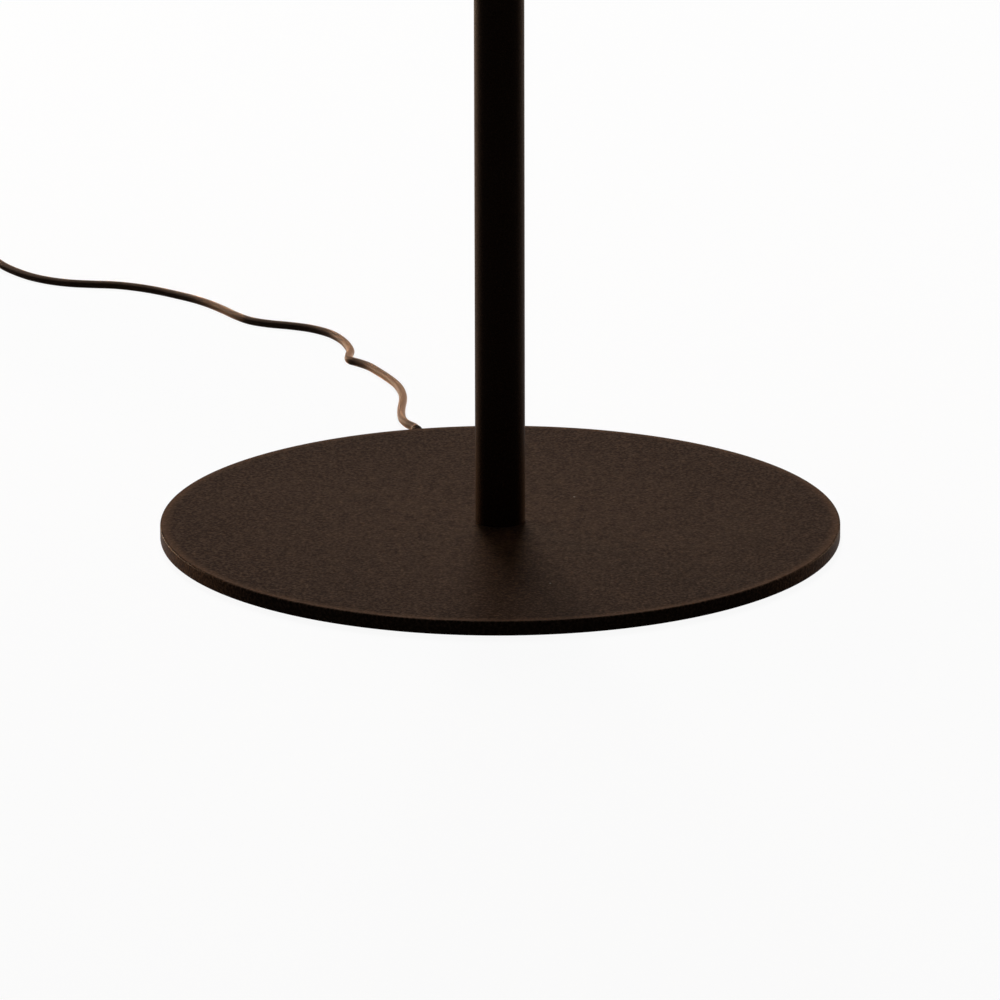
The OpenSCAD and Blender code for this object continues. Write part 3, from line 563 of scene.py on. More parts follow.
@dataclass(frozen=True)
class Sheath(Finish):
    """Sheath of the cord: smooth soft plastic with faint waves and scuffs."""

    colour: str = "4d3a2e"
    shift: str = "5f4c3f"
    scuff_tint: str = "85786c"
    rough: float = 0.5
    specular: float = 0.012
    sheen: float = 1.0
    sheen_rough: float = 0.4
    sheen_tint: str = "ffdfca"
    patch: float = 45.0
    cloud: float = 90.0
    waves: float = 700.0
    depth: float = 0.05

    def dress(self, paint: Surface) -> None:
        """Feeds colour, roughness, sheen and normal.

        Args:
            paint: the material's node tree.
        """
        smudge = paint.group(Effects.handling(), Vector=paint.where, Patch=self.patch)["Smudge"]
        cloud = paint.cloud(paint.where, self.cloud)
        colour = paint.blend(cloud, tint(self.colour), tint(self.shift))
        colour = paint.stain(colour, smudge, 0.15, self.scuff_tint)
        paint.feed({
            "Base Color": colour,
            "Roughness": paint.rough(self.rough, 0.05, cloud, smudge, 0.15),
            "Specular IOR Level": self.specular,
            "Sheen Weight": self.sheen,
            "Sheen Roughness": self.sheen_rough,
            "Sheen Tint": tint(self.sheen_tint),
        })
        paint.bump(paint.noise(paint.where, self.waves), self.depth)


@dataclass(frozen=True)
class Felt(Finish):
    """Pressed felt of the pad under the base."""

    colour: str = "262321"
    shift: str = "3a3633"
    fibre_tint: str = "55504b"
    fibre: float = 900.0
    knot: float = 180.0
    specular: float = 0.2
    depth: float = 0.3

    def dress(self, paint: Surface) -> None:
        """Feeds colour, roughness and normal.

        Args:
            paint: the material's node tree.
        """
        fibres = paint.noise(paint.where, self.fibre, detail=6.0, rough=0.75)
        knots = paint.span(paint.noise(paint.where, self.knot, detail=3.0, rough=0.6), 0.35, 0.7)
        colour = paint.blend(knots, tint(self.colour), tint(self.shift))
        colour = paint.blend(paint.span(fibres, 0.4, 0.8), colour, tint(self.fibre_tint))
        rough = paint.span(fibres, 0.0, 1.0, 0.85, 1.0)
        paint.feed({"Base Color": colour, "Roughness": rough, "Specular IOR Level": self.specular})
        paint.bump(fibres, self.depth)


COAT = Coat("bronze_coat_textured")
# The plate's coat has a painted highlight along its rim
PLATE_COAT = Coat("bronze_coat_plate", colour="32251d", fleck="6b5546", specular=0.003, grain=760.0,
                  mottle=0.88, dust=0.8, smudge=0.5, rim=PLATE_R)
ENAMEL = Coat("white_enamel", colour="e6e3dc", fleck="f0eee8", rough=0.38, specular=0.5, grain=700.0,
              depth=0.02, smudge=0.15, wear=0.0)
SINK = Metal("bronze_anodised", colour="2d211a", shift="3d2e25", rough=0.36, metallic=0.75, rings=1800.0,
             centre=HEAD_AXIS)
STEEL = Metal("turned_steel")
OILED_STEEL = Metal("oiled_steel", colour="5b554e", shift="48433d", rough=0.42)
ELBOW_STEEL = Metal("turned_steel_elbow", centre=ELBOW_AXIS)
TILT_STEEL = Metal("turned_steel_tilt", centre=TILT_AT, lean=(90, 0, 0))
HEAD_STEEL = Metal("turned_steel_head", centre=HEAD_AXIS, rough=0.3)
ALUMINIUM = Metal("turned_aluminium", colour="c4c3bf", shift="a9a8a4", centre=HEAD_AXIS)
NICKEL = Metal("bright_nickel", colour="d6d0c4", shift="c2bbae", rough=0.22, rings=3000.0, depth=0.01,
               lean=(90, 0, 0))
DARK_NYLON = Moulded("moulded_dark_nylon")
BROWN_NYLON = Moulded("moulded_brown_nylon", colour="24170e", shift="2e1e13", specular=0.02, dust=0.1)
PALE_NYLON = Moulded("moulded_pale_nylon", colour="d6d1c4", shift="c9c3b5", rough=0.45, dust=0.2)
GREY_PLASTIC = Moulded("moulded_grey_plastic", colour="4a4a48", shift="565653")
WHITE_BOARD = Moulded("printed_board", colour="efede7", shift="e4e1da", rough=0.4)
CHIP = Moulded("phosphor_chip", colour="e9cf63", shift="f0dc86", rough=0.3)
OPAL = Moulded("moulded_opal", colour="f1eee6", shift="ece8de", rough=0.36, grain=1200.0, depth=0.01,
               dust=0.1, glow=0.6)
WHITE_RING = Moulded("moulded_white_ring", colour="e9e6df", shift="dfdbd2", rough=0.42, dust=0.15)
BROWN_SHEATH = Sheath("brown_cord_sheath")
WHITE_SHEATH = Sheath("white_cord_sheath", colour="e2ded4", shift="d6d1c6")
PAD_FELT = Felt("pad_felt")


# Meshes


def fan(angle: float, steps: int, start: float = 0.0) -> list[float]:
    """Gives evenly spaced angles in radians, over an angle in degrees from a start in degrees."""
    return [math.radians(start + angle * k / steps) for k in range(steps + 1)]


def rounded(corners: Sequence[Corner], steps: int = 4) -> list[Point]:
    """Rounds the corners of an outline.

    Args:
        corners: each corner's place and its rounding, 0 for a sharp one.
        steps: the number of steps round one corner.

    Returns:
        The points of the rounded outline, with a point close on each side of a rounding.
    """
    points: list[Point] = []
    for i, (across, up, radius) in enumerate(corners):
        here = Vector((across, up))
        if radius <= 0:
            points.append((across, up))
            continue
        back = Vector(corners[i - 1][:2]) - here
        ahead = Vector(corners[(i + 1) % len(corners)][:2]) - here
        half = back.angle(ahead) / 2
        room = ROUND_SHARE * min(back.length, ahead.length)
        reach = min(radius / math.tan(half), room)
        true_radius = reach * math.tan(half)
        back.normalize()
        ahead.normalize()
        middle = here + (back + ahead).normalized() * true_radius / math.sin(half)
        start, end = here + back * reach - middle, here + ahead * reach - middle
        sweep = start.angle_signed(end)
        guard = min(GUARD_REACH * reach, GUARD_SHARE * room)
        arc = [middle + Matrix.Rotation(-sweep * k / steps, 2) @ start for k in range(steps + 1)]
        for point in [here + back * guard, *arc, here + ahead * guard]:
            points.append((point.x, point.y))
    return points


def tube_outline(bore: float, radius: float, low: float, high: float) -> list[Point]:
    """Gives the outline of a tube with slightly rounded ends."""
    inner, outer = BORE_EDGE, RIM_EDGE
    return rounded([(bore, low, inner), (radius, low, outer), (radius, high, outer), (bore, high, inner)])


def as_mesh(work: bmesh.types.BMesh, name: str) -> Mesh:
    """Turns finished mesh work into a mesh and frees it.

    Args:
        work: the mesh work.
        name: the mesh's name.

    Returns:
        The mesh.
    """
    mesh = bpy.data.meshes.new(name)
    work.to_mesh(mesh)
    work.free()
    return mesh


def turned(name: str, outline: Sequence[Point], segments: int = 96, axis: Axis = Axis.UP,
           at: Sequence[float] = (0, 0, 0), lining_from: Optional[int] = None) -> Mesh:
    """Turns an outline round an axis.

    Args:
        name: the mesh's name.
        outline: radius and height of each point; it is closed unless both ends lie on the axis.
        segments: the number of steps round the axis.
        axis: the way that the height points.
        at: the place of the outline's origin.
        lining_from: the point of the outline from which faces take the second finish.

    Returns:
        The mesh in metres.
    """
    work = bmesh.new()
    turns = fan(360, segments)[:-1]
    rings: list[list[bmesh.types.BMVert]] = []
    for radius, height in outline:
        if radius < MERGE_GAP:
            rings.append([work.verts.new((0, 0, height))])
            continue
        rings.append([work.verts.new((radius * math.cos(a), radius * math.sin(a), height)) for a in turns])
    is_open = len(rings[0]) == 1 and len(rings[-1]) == 1
    for i in range(len(rings) - 1 if is_open else len(rings)):
        low, high = rings[i], rings[(i + 1) % len(rings)]
        for k in range(segments):
            n = k + 1
            ends = [low[k % len(low)], low[n % len(low)], high[n % len(high)], high[k % len(high)]]
            unique = list(dict.fromkeys(ends))
            if len(unique) > 2:
                face = work.faces.new(unique)
                face.material_index = int(lining_from is not None and i >= lining_from)
    bmesh.ops.recalc_face_normals(work, faces=work.faces)
    mesh = as_mesh(work, name)
    mesh.transform(Matrix.Scale(MM, 4) @ Matrix.Translation(Vector(at)) @ axis.value)
    return mesh


def lofted(name: str, rings: Sequence[Sequence[Vector]], closed: bool = False) -> Mesh:
    """Joins rings of equally many points into a closed skin.

    Args:
        name: the mesh's name.
        rings: the rings.
        closed: whether the last ring joins the first; otherwise both ends get a cap.

    Returns:
        The mesh in metres.
    """
    work = bmesh.new()
    rows = [[work.verts.new(p * MM) for p in ring] for ring in rings]
    for i in range(len(rows) if closed else len(rows) - 1):
        low, high = rows[i], rows[(i + 1) % len(rows)]
        for k in range(len(low)):
            n = (k + 1) % len(low)
            work.faces.new((low[k], low[n], high[n], high[k]))
    if not closed:
        work.faces.new(rows[0])
        work.faces.new(rows[-1])
    bmesh.ops.recalc_face_normals(work, faces=work.faces)
    return as_mesh(work, name)


def merged(name: str, meshes: Sequence[Mesh]) -> Mesh:
    """Puts several meshes into one.

    Args:
        name: the new mesh's name.
        meshes: the meshes.

    Returns:
        The joined mesh.
    """
    work = bmesh.new()
    for mesh in meshes:
        work.from_mesh(mesh)
    return as_mesh(work, name)


def linked(name: str, data: Any) -> Object:
    """Puts a mesh, curve, light or camera into the scene.

    Args:
        name: the object's name.
        data: the mesh, curve, light or camera.

    Returns:
        The object.
    """
    made = bpy.data.objects.new(name, data)
    bpy.context.scene.collection.objects.link(made)
    return made


def settled(work: Object, name: str) -> Mesh:
    """Takes an object's evaluated mesh and removes the object.

    Args:
        work: the object with its modifiers.
        name: the new mesh's name.

    Returns:
        The plain mesh.
    """
    graph = bpy.context.evaluated_depsgraph_get()
    mesh = bpy.data.meshes.new_from_object(work.evaluated_get(graph))
    mesh.name = name
    bpy.data.objects.remove(work)
    return mesh


def cast(name: str, node: Object, voxel: float) -> Mesh:
    """Copies a CAD node's solid with the soft edges of a cast and coated fitting.

    Args:
        name: the mesh's name.
        node: the CAD node.
        voxel: the size of the new skin's cells.

    Returns:
        The mesh in metres.
    """
    merge = bmesh.new()
    merge.from_mesh(node.data)
    bmesh.ops.remove_doubles(merge, verts=merge.verts, dist=MERGE_GAP)
    work = linked("work", as_mesh(merge, name))
    skin = work.modifiers.new("Skin", "REMESH")
    skin.mode = "VOXEL"
    skin.voxel_size = voxel * MM
    soften = work.modifiers.new("Soften", "SMOOTH")
    soften.factor = 0.5
    soften.iterations = CAST_PASSES
    return settled(work, name)


class Shapers:
    """Geometry node trees for what repeats, each built once."""

    @staticmethod
    def start(name: str, inputs: dict[str, str]) -> tuple[Graph, Any, Any]:
        """Starts a geometry node tree with a mesh going in and out.

        Args:
            name: the tree's name.
            inputs: the type of each named input.

        Returns:
            The graph, the values that come in and the sockets that lead out.
        """
        tree = bpy.data.node_groups.new(name, "GeometryNodeTree")
        kinds = {"Geometry": "NodeSocketGeometry", **inputs, "Finish": "NodeSocketMaterial"}
        for key, kind in kinds.items():
            tree.interface.new_socket(key, in_out="INPUT", socket_type=kind)
        tree.interface.new_socket("Geometry", in_out="OUTPUT", socket_type="NodeSocketGeometry")
        graph = Graph(tree)
        return graph, graph.add("NodeGroupInput").outputs, graph.add("NodeGroupOutput").inputs

    @staticmethod
    def end(graph: Graph, given: Any, out: Any, shape: NodeSocket) -> NodeTree:
        """Ends a tree with real geometry and its finish.

        Args:
            graph: the tree's graph.
            given: the values that come in.
            out: the sockets that lead out.
            shape: the geometry that the tree made.

        Returns:
            The finished tree.
        """
        real = graph.add("GeometryNodeRealizeInstances", {0: shape}).outputs[0]
        inputs = {"Geometry": real, "Material": given["Finish"]}
        graph.put(out[0], graph.add("GeometryNodeSetMaterial", inputs).outputs[0])
        return graph.tree

    @classmethod
    @cache
    def flutes(cls) -> NodeTree:
        """Presses round flutes into the side of a knob that is turned round Z.

        Returns:
            The tree.
        """
        kinds = {"Flutes": "NodeSocketInt", "Depth": "NodeSocketFloat", "Radius": "NodeSocketFloat"}
        graph, given, out = cls.start("Flutes", kinds)
        parts = graph.parts(graph.add("GeometryNodeInputPosition").outputs[0])
        turn = graph.math("ARCTAN2", parts[1], parts[0])
        wave = graph.math("COSINE", graph.times(turn, given["Flutes"]))
        groove = graph.math("POWER", graph.math("MULTIPLY_ADD", wave, 0.5, 0.5), 1.6)
        flat = graph.join(parts[0], parts[1])
        side = graph.math("DIVIDE", graph.length(flat), given["Radius"])
        near_side = graph.add("ShaderNodeMapRange", {0: side, 1: 0.86, 2: 0.97}).outputs[0]
        push = graph.times(graph.times(groove, near_side), given["Depth"])
        outward = graph.add("ShaderNodeVectorMath", {0: flat}, operation="NORMALIZE").outputs[0]
        inputs = {0: outward, "Scale": graph.times(push, -1.0)}
        offset = graph.add("ShaderNodeVectorMath", inputs, operation="SCALE").outputs[0]
        inputs = {"Geometry": given["Geometry"], "Offset": offset}
        shape = graph.add("GeometryNodeSetPosition", inputs).outputs[0]
        return cls.end(graph, given, out, shape)

    @classmethod
    @cache
    def stack(cls) -> NodeTree:
        """Repeats a ring along Z, with an even taper from the first to the last.

        Returns:
            The tree.
        """
        kinds = {"Count": "NodeSocketInt", "Pitch": "NodeSocketFloat", "Last size": "NodeSocketFloat"}
        graph, given, out = cls.start("Stack", kinds)
        inputs = {"Count": given["Count"], "Offset": graph.join(z=given["Pitch"])}
        line = graph.add("GeometryNodeMeshLine", inputs).outputs[0]
        index = graph.add("GeometryNodeInputIndex").outputs[0]
        gaps = graph.math("MAXIMUM", graph.math("SUBTRACT", given["Count"], 1.0), 1.0)
        shrink = graph.math("SUBTRACT", given["Last size"], 1.0)
        size = graph.math("MULTIPLY_ADD", graph.math("DIVIDE", index, gaps), shrink, 1.0)
        inputs = {"Points": line, "Instance": given["Geometry"], "Scale": graph.join(size, size, 1.0)}
        shape = graph.add("GeometryNodeInstanceOnPoints", inputs).outputs[0]
        return cls.end(graph, given, out, shape)

    @classmethod
    @cache
    def circle(cls) -> NodeTree:
        """Repeats a shape round Z, each copy turned to face outwards.

        Returns:
            The tree.
        """
        kinds = {"Count": "NodeSocketInt", "Radius": "NodeSocketFloat", "First turn": "NodeSocketFloat"}
        graph, given, out = cls.start("Circle", kinds)
        inputs = {"Count": given["Count"], "Offset": (0.0, 0.0, 0.0)}
        points = graph.add("GeometryNodeMeshLine", inputs).outputs[0]
        index = graph.add("GeometryNodeInputIndex").outputs[0]
        step = graph.math("DIVIDE", 2 * math.pi, given["Count"])
        turn = graph.math("MULTIPLY_ADD", index, step, given["First turn"])
        across = graph.times(given["Radius"], graph.math("COSINE", turn))
        deep = graph.times(given["Radius"], graph.math("SINE", turn))
        inputs = {"Geometry": points, "Position": graph.join(across, deep)}
        moved = graph.add("GeometryNodeSetPosition", inputs).outputs[0]
        inputs = {"Points": moved, "Instance": given["Geometry"], "Rotation": graph.join(z=turn)}
        shape = graph.add("GeometryNodeInstanceOnPoints", inputs).outputs[0]
        return cls.end(graph, given, out, shape)


def shaped(mesh: Mesh, tree: NodeTree, finish: Finish, **values: Any) -> Mesh:
    """Runs a geometry node tree on a mesh.

    Args:
        mesh: the mesh that goes in.
        tree: the tree.
        finish: the finish that the tree sets.
        values: the tree's other named inputs, with _ for a space.

    Returns:
        The result as a plain mesh.
    """
    work = linked("work", mesh)
    modifier = work.modifiers.new("Shape", "NODES")
    modifier.node_group = tree
    wanted = {key.replace("_", " "): value for key, value in values.items()}
    wanted["Finish"] = finish.material()
    for item in tree.interface.items_tree:
        if item.item_type == "SOCKET" and item.in_out == "INPUT" and item.name in wanted:
            modifier[item.identifier] = wanted[item.name]
    return settled(work, mesh.name)


def add_piece(name: str, mesh: Mesh, body: Body, finishes: Sequence[Finish],
              stands_for: Sequence[str]) -> Object:
    """Makes a mesh a piece of the lamp.

    Args:
        name: the piece's name.
        mesh: its mesh, with its place in it.
        body: the body that it rides on.
        finishes: its materials, in the order of the faces' numbers.
        stands_for: the CAD nodes that it replaces.

    Returns:
        The piece's object.
    """
    if mesh.materials:
        mesh.materials.clear()
    for finish in finishes:
        mesh.materials.append(finish.material())
    mesh.shade_smooth()
    mesh.set_sharp_from_angle(angle=math.radians(SHARP_ANGLE))
    made = linked(name, mesh)
    even = made.modifiers.new("Even normals", "WEIGHTED_NORMAL")
    even.keep_sharp = True
    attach(made, body.value)
    if stands_for:
        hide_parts(*stands_for)
    LOG.info("%s: %d faces, on %s", name, len(mesh.polygons), body.value)
    return made


def dress(nodes: Nodes, finish: Finish, *names: str) -> None:
    """Gives CAD nodes that stay their finish.

    Args:
        nodes: the CAD nodes.
        finish: the finish.
        names: the nodes' names.
    """
    for name in names:
        for slot in nodes[name].material_slots:
            slot.material = finish.material()
        LOG.info("%s: CAD node in %s", name, finish.name)


# Sub-assemblies


@dataclass
class Stand:
    """Base plate and pole."""

    nodes: Nodes
    plate_low: float = 1.0
    plate_top: float = 7.5
    edge_r: float = 0.8
    foot_r: float = 0.6
    stud_r: float = 7.55
    pole_r: float = 11.0
    bore_r: float = 9.5
    lower_top: float = 627.5
    upper_low: float = 628.7
    pole_top: float = 1248.7
    groove_r: float = 2.1
    seat_r: float = 2.55
    past_rim: float = 2.0

    def groove(self, radius: float, start: float, end: float) -> Mesh:
        """Makes the cutter for the cord's way under the plate.

        Args:
            radius: the groove's half width.
            start: where it starts, out from the pole's axis.
            end: where it ends.

        Returns:
            The cutter's mesh.
        """
        roof = [(radius * math.cos(a), CORD_Z + radius * math.sin(a)) for a in fan(180, 24)]
        section = [(radius, 0.0), *roof, (-radius, 0.0)]
        turn = Matrix.Rotation(math.radians(EXIT_TURN), 3, "Z")
        return lofted("cutter", [[turn @ Vector((x, y, z)) for x, z in section] for y in (start, end)])

    def base_plate(self) -> None:
        """Makes the round plate with its rounded rim and the cord's way under it."""
        outline = rounded([
            (self.stud_r, self.plate_low, 0), (PLATE_R, self.plate_low, self.foot_r),
            (PLATE_R, self.plate_top, self.edge_r), (self.stud_r, self.plate_top, 0),
        ], 6)
        plate = linked("work", turned("base_plate", outline, 288))
        cutters = [
            linked("work", self.groove(self.groove_r, 0.0, PLATE_R)),
            linked("work", self.groove(self.seat_r, PLATE_R - RELIEF_SEAT, PLATE_R + self.past_rim)),
        ]
        for cutter in cutters:
            cut = plate.modifiers.new("Groove", "BOOLEAN")
            cut.operation = "DIFFERENCE"
            cut.solver = "EXACT"
            cut.object = cutter
        mesh = settled(plate, "base_plate")
        for cutter in cutters:
            bpy.data.objects.remove(cutter)
        add_piece("plate", mesh, Body.STAND, [PLATE_COAT], ["base_plate"])

    def tube(self, node: str, low: float, high: float) -> None:
        """Makes one tube of the pole."""
        mesh = turned(node, tube_outline(self.bore_r, self.pole_r, low, high), 128)
        add_piece("pole_" + node, mesh, Body.STAND, [COAT], [node])

    def build(self) -> None:
        """Makes the pieces and dresses the CAD nodes that stay."""
        self.base_plate()
        self.tube("lower_tube", self.plate_top, self.lower_top)
        self.tube("upper_tube", self.upper_low, self.pole_top)
        dress(self.nodes, PAD_FELT, "base_pad")
        dress(self.nodes, STEEL, "base_stud", "pole_insert")
        dress(self.nodes, OILED_STEEL, "tube_coupler")
        dress(self.nodes, DARK_NYLON, "swivel_bush")
        dress(self.nodes, BROWN_SHEATH, "pole_cable")


@dataclass
class Coil:
    """The put-away length of the cord, as a formula."""

    middle: Point
    cord_r: float
    radius: float = 28.5
    turns: float = 2.85
    layers: int = 4
    pitch: float = 4.4
    climb: float = 0.5
    lift: float = 1.0
    entry_turn: float = 36.0
    steps: int = 40
    tail: float = 20.0

    def height(self, done: float) -> float:
        """Gives the height of the cord's axis after some turns.

        Args:
            done: the turns so far.

        Returns:
            The height.
        """
        rise = 0.0
        for layer in range(1, self.layers):
            share = min(max((done - layer * self.turns) / self.climb + 0.5, 0.0), 1.0)
            rise += (1 - math.cos(math.pi * share)) / 2
        return self.lift + self.cord_r + self.pitch * rise

    def spread(self, done: float) -> float:
        """Gives the radius after some turns: in and out again at a steady rate.

        Args:
            done: the turns so far.

        Returns:
            The radius.
        """
        layer = min(int(done / self.turns), self.layers - 1)
        part = done - layer * self.turns
        inner = self.radius - self.turns * self.pitch
        return self.radius - part * self.pitch if layer % 2 == 0 else inner + part * self.pitch

    def turn(self, done: float) -> float:
        """Gives the angle after some turns, in radians."""
        return math.radians(self.entry_turn) + 2 * math.pi * done

    def at(self, done: float) -> Vector:
        """Gives the point after some turns.

        Args:
            done: the turns so far.

        Returns:
            The point on the cord's axis.
        """
        turn, reach = self.turn(done), self.spread(done)
        x = self.middle[0] + reach * math.cos(turn)
        y = self.middle[1] + reach * math.sin(turn)
        return Vector((x, y, self.height(done)))

    def heading(self, done: float) -> Vector:
        """Gives the direction along the floor after some turns."""
        return Vector((-math.sin(self.turn(done)), math.cos(self.turn(done)), 0))

    def points(self) -> list[Vector]:
        """Gives the loops and the straight end.

        Returns:
            The points along the cord's axis.
        """
        whole = self.turns * self.layers
        count = math.floor(whole * self.steps)
        loops = [self.at(whole * i / count) for i in range(count + 1)]
        tail = self.tail * self.heading(whole)
        return [*loops, loops[-1] + tail / 2, loops[-1] + tail]


# The cord's points on the floor from the relief's tip, with their lift
ROUTE: tuple[Place, ...] = (
    (-4, 9.5, 0.75), (-6.3, 18, 0.45), (-7, 28, 0.15), (-7, 38, 0), (-6.5, 48.5, 0), (-6.5, 58, 0),
    (-7.5, 67.5, 0), (-9.5, 77, 0), (-13, 87, 0), (-17.5, 97.5, 0), (-22.5, 108, 0), (-27.5, 114.5, 0),
    (-32, 119.5, 0), (-32.4, 127, 0), (-31.7, 134, 0), (-33, 142.5, 0), (-35, 150.5, 0), (-38.4, 159, 0),
    (-43, 166.5, 0), (-51, 174, 0), (-61, 179, 0), (-71, 182.5, 0), (-80, 188, 0), (-87, 197, 0),
    (-93, 207, 0), (-100, 217.5, 0), (-107.7, 226.5, 0), (-116.7, 234.5, 0), (-126.2, 242, 0),
    (-136.2, 248, 0), (-146.7, 252, 0), (-157.6, 253.5, 0), (-168, 255.5, 0), (-178, 260, 0),
    (-187, 267, 0), (-194.5, 275, 0.3), (-201, 284, 0.7),
)


@dataclass
class CordSet:
    """Strain relief, cord, tie and plug-in adapter."""

    nodes: Nodes
    cord_d: float = 3.8
    cord_length: float = 2.02
    hidden_end: float = 22.0
    straight_out: float = 3.0
    coil_from_tip: Point = (-237.0, 289.0)
    coil_lead: float = 8.0
    relief_out: float = 14.0
    relief_r: float = 2.5
    relief_tip_r: float = 2.3
    relief_gap: float = 0.03
    neck: Point = (1.0, 1.6)
    neck_depth: float = 0.22
    rib: Point = (2.4, 3.7)
    rib_edge: float = 0.2
    rib_count: int = 5
    rib_pitch: float = 2.2
    tie_w: float = 8.0
    tie_t: float = 0.8
    tie_edge: float = 0.25
    tie_bend: float = 3.4
    tie_low: float = 12.26
    tie_high: float = 32.22
    tie_top: float = 19.0

    def __post_init__(self) -> None:
        """Works out the relief's tip and the coil's place."""
        turn = math.radians(EXIT_TURN)
        self.out = Vector((-math.sin(turn), math.cos(turn), 0))
        self.exit = self.out * PLATE_R + Vector((0, 0, CORD_Z))
        self.tip = self.exit + self.out * self.relief_out
        middle = (self.tip.x + self.coil_from_tip[0], self.tip.y + self.coil_from_tip[1])
        self.coil = Coil(middle, self.cord_d / 2)
        self.loops = self.coil.points()

    @staticmethod
    def eased(points: Sequence[Vector], steps: int = 4) -> list[Vector]:
        """Runs a smooth curve through points.

        Args:
            points: the points.
            steps: the steps between two of them.

        Returns:
            The points of the curve.
        """
        ends = [2 * points[0] - points[1], *points, 2 * points[-1] - points[-2]]
        curve: list[Vector] = []
        for before, here, there, after in zip(ends, ends[1:], ends[2:], ends[3:]):
            for k in range(steps):
                s = k / steps
                curve.append(0.5 * (2 * here + (there - before) * s
                                    + (2 * before - 5 * here + 4 * there - after) * s ** 2
                                    + (3 * here - before - 3 * there + after) * s ** 3))
        return [*curve, points[-1]]

    def route(self) -> list[Vector]:
        """Gives the cord's line from the relief's tip to the adapter.

        Returns:
            The points of the line.
        """
        lying = [Vector((self.tip.x + x, self.tip.y + y, self.cord_d / 2 + lift)) for x, y, lift in ROUTE]
        entry, heading = self.loops[0], self.coil.heading(0)
        start = [self.tip, self.tip + self.straight_out * self.out, *lying,
                 entry - (self.cord_d + self.coil_lead) * heading, entry - self.cord_d * heading]
        inside = self.loops[-1] + self.hidden_end * self.coil.heading(self.coil.turns * self.coil.layers)
        return [*self.eased(start), *self.loops, inside]

    def cord(self, on_it: Sequence[Object]) -> None:
        """Makes the free cord.

        Args:
            on_it: the pieces at its far end and round it; not used.
        """
        line = self.route()
        data = bpy.data.curves.new("cord", "CURVE")
        data.dimensions = "3D"
        data.bevel_depth = self.cord_d / 2 * MM
        data.bevel_resolution = 4
        data.use_fill_caps = True
        spline = data.splines.new("POLY")
        spline.points.add(len(line) - 1)
        for point, place in zip(spline.points, line):
            point.co = (*(place * MM), 1.0)
        spline.use_smooth = True
        data.materials.append(BROWN_SHEATH.material())
        made = linked("cord", data)
        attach(made, Body.STAND.value)
        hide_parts("cord_floor", "cord_coil")
        LOG.info("cord: %d points", len(line))

    def relief(self) -> None:
        """Makes the ribbed strain relief at the plate's rim."""
        bore, wide, tip = self.cord_d / 2 + self.relief_gap, self.relief_r, self.relief_tip_r
        edge, sunk, end = self.rib_edge, self.neck_depth, self.relief_out
        body = turned("relief", rounded([
            (bore, -RELIEF_SEAT, 0), (wide, -RELIEF_SEAT, edge), (wide, self.neck[0], edge),
            (wide - sunk, self.neck[1], 0), (tip - sunk, end, 0.1), (bore, end, 0),
        ], 3), 48)
        low, high = self.rib
        ends = [(bore, low, 0), (wide, low, edge), (wide, high, edge), (bore, high, 0)]
        rib = turned("rib", rounded(ends, 3), 48)
        ribs = shaped(rib, Shapers.stack(), BROWN_NYLON, Count=self.rib_count, Pitch=self.rib_pitch * MM,
                      Last_size=tip / wide)
        mesh = merged("cord_relief", [body, ribs])
        turn = Matrix.Rotation(math.radians(EXIT_TURN), 4, "Z") @ Matrix.Rotation(math.radians(-90), 4, "X")
        mesh.transform(Matrix.Translation(self.exit * MM) @ turn)
        add_piece("rim_relief", mesh, Body.STAND, [BROWN_NYLON], ["cord_relief"])

    def tie(self) -> Object:
        """Makes the strap round the coil, with its tail on top.

        Returns:
            The strap's object.
        """
        low, high, top, thick = self.tie_low, self.tie_high, self.tie_top, self.tie_t
        half, edge, bend = self.tie_w / 2, self.tie_edge, self.tie_bend
        section = [(-half + edge, 0), (half - edge, 0), (half, edge), (half, thick - edge),
                   (half - edge, thick), (-half + edge, thick), (-half, thick - edge), (-half, edge)]
        loop = rounded([(low, 0, bend), (high, 0, bend), (high, top, bend), (low, top, bend)], 8)
        centre = Vector(((low + high) / 2, top / 2))
        rings = []
        for k, (u, z) in enumerate(loop):
            ahead = Vector(loop[(k + 1) % len(loop)]) - Vector(loop[k - 1])
            inward = Vector((-ahead.y, ahead.x)).normalized()
            if inward.dot(centre - Vector((u, z))) < 0:
                inward.negate()
            ring = [(-across, u + inward.x * deep, z + inward.y * deep) for across, deep in section]
            rings.append([Vector(place) for place in ring])
        # Places along the tail and its lift off the loop
        lifts = ((low + 4, -0.5), (low + 6, 0), (high - 6, 0), (high - 3, 0.2), (high - 0.5, 0.9),
                 (high + 2, 2.0))
        tail = [[Vector((across, u, top + lift + deep)) for across, deep in section] for u, lift in lifts]
        strap = merged("strap", [lofted("loop", rings, closed=True), lofted("tail", tail)])
        strap.transform(Matrix.Translation(Vector((*self.coil.middle, 0)) * MM))
        return add_piece("coil_tie", strap, Body.STAND, [DARK_NYLON], ["cord_tie"])

    def build(self) -> None:
        """Makes the pieces and dresses the CAD nodes that stay."""
        self.relief()
        self.cord([self.tie(), *Adapter(self.nodes, self.loops[-1]).build()])


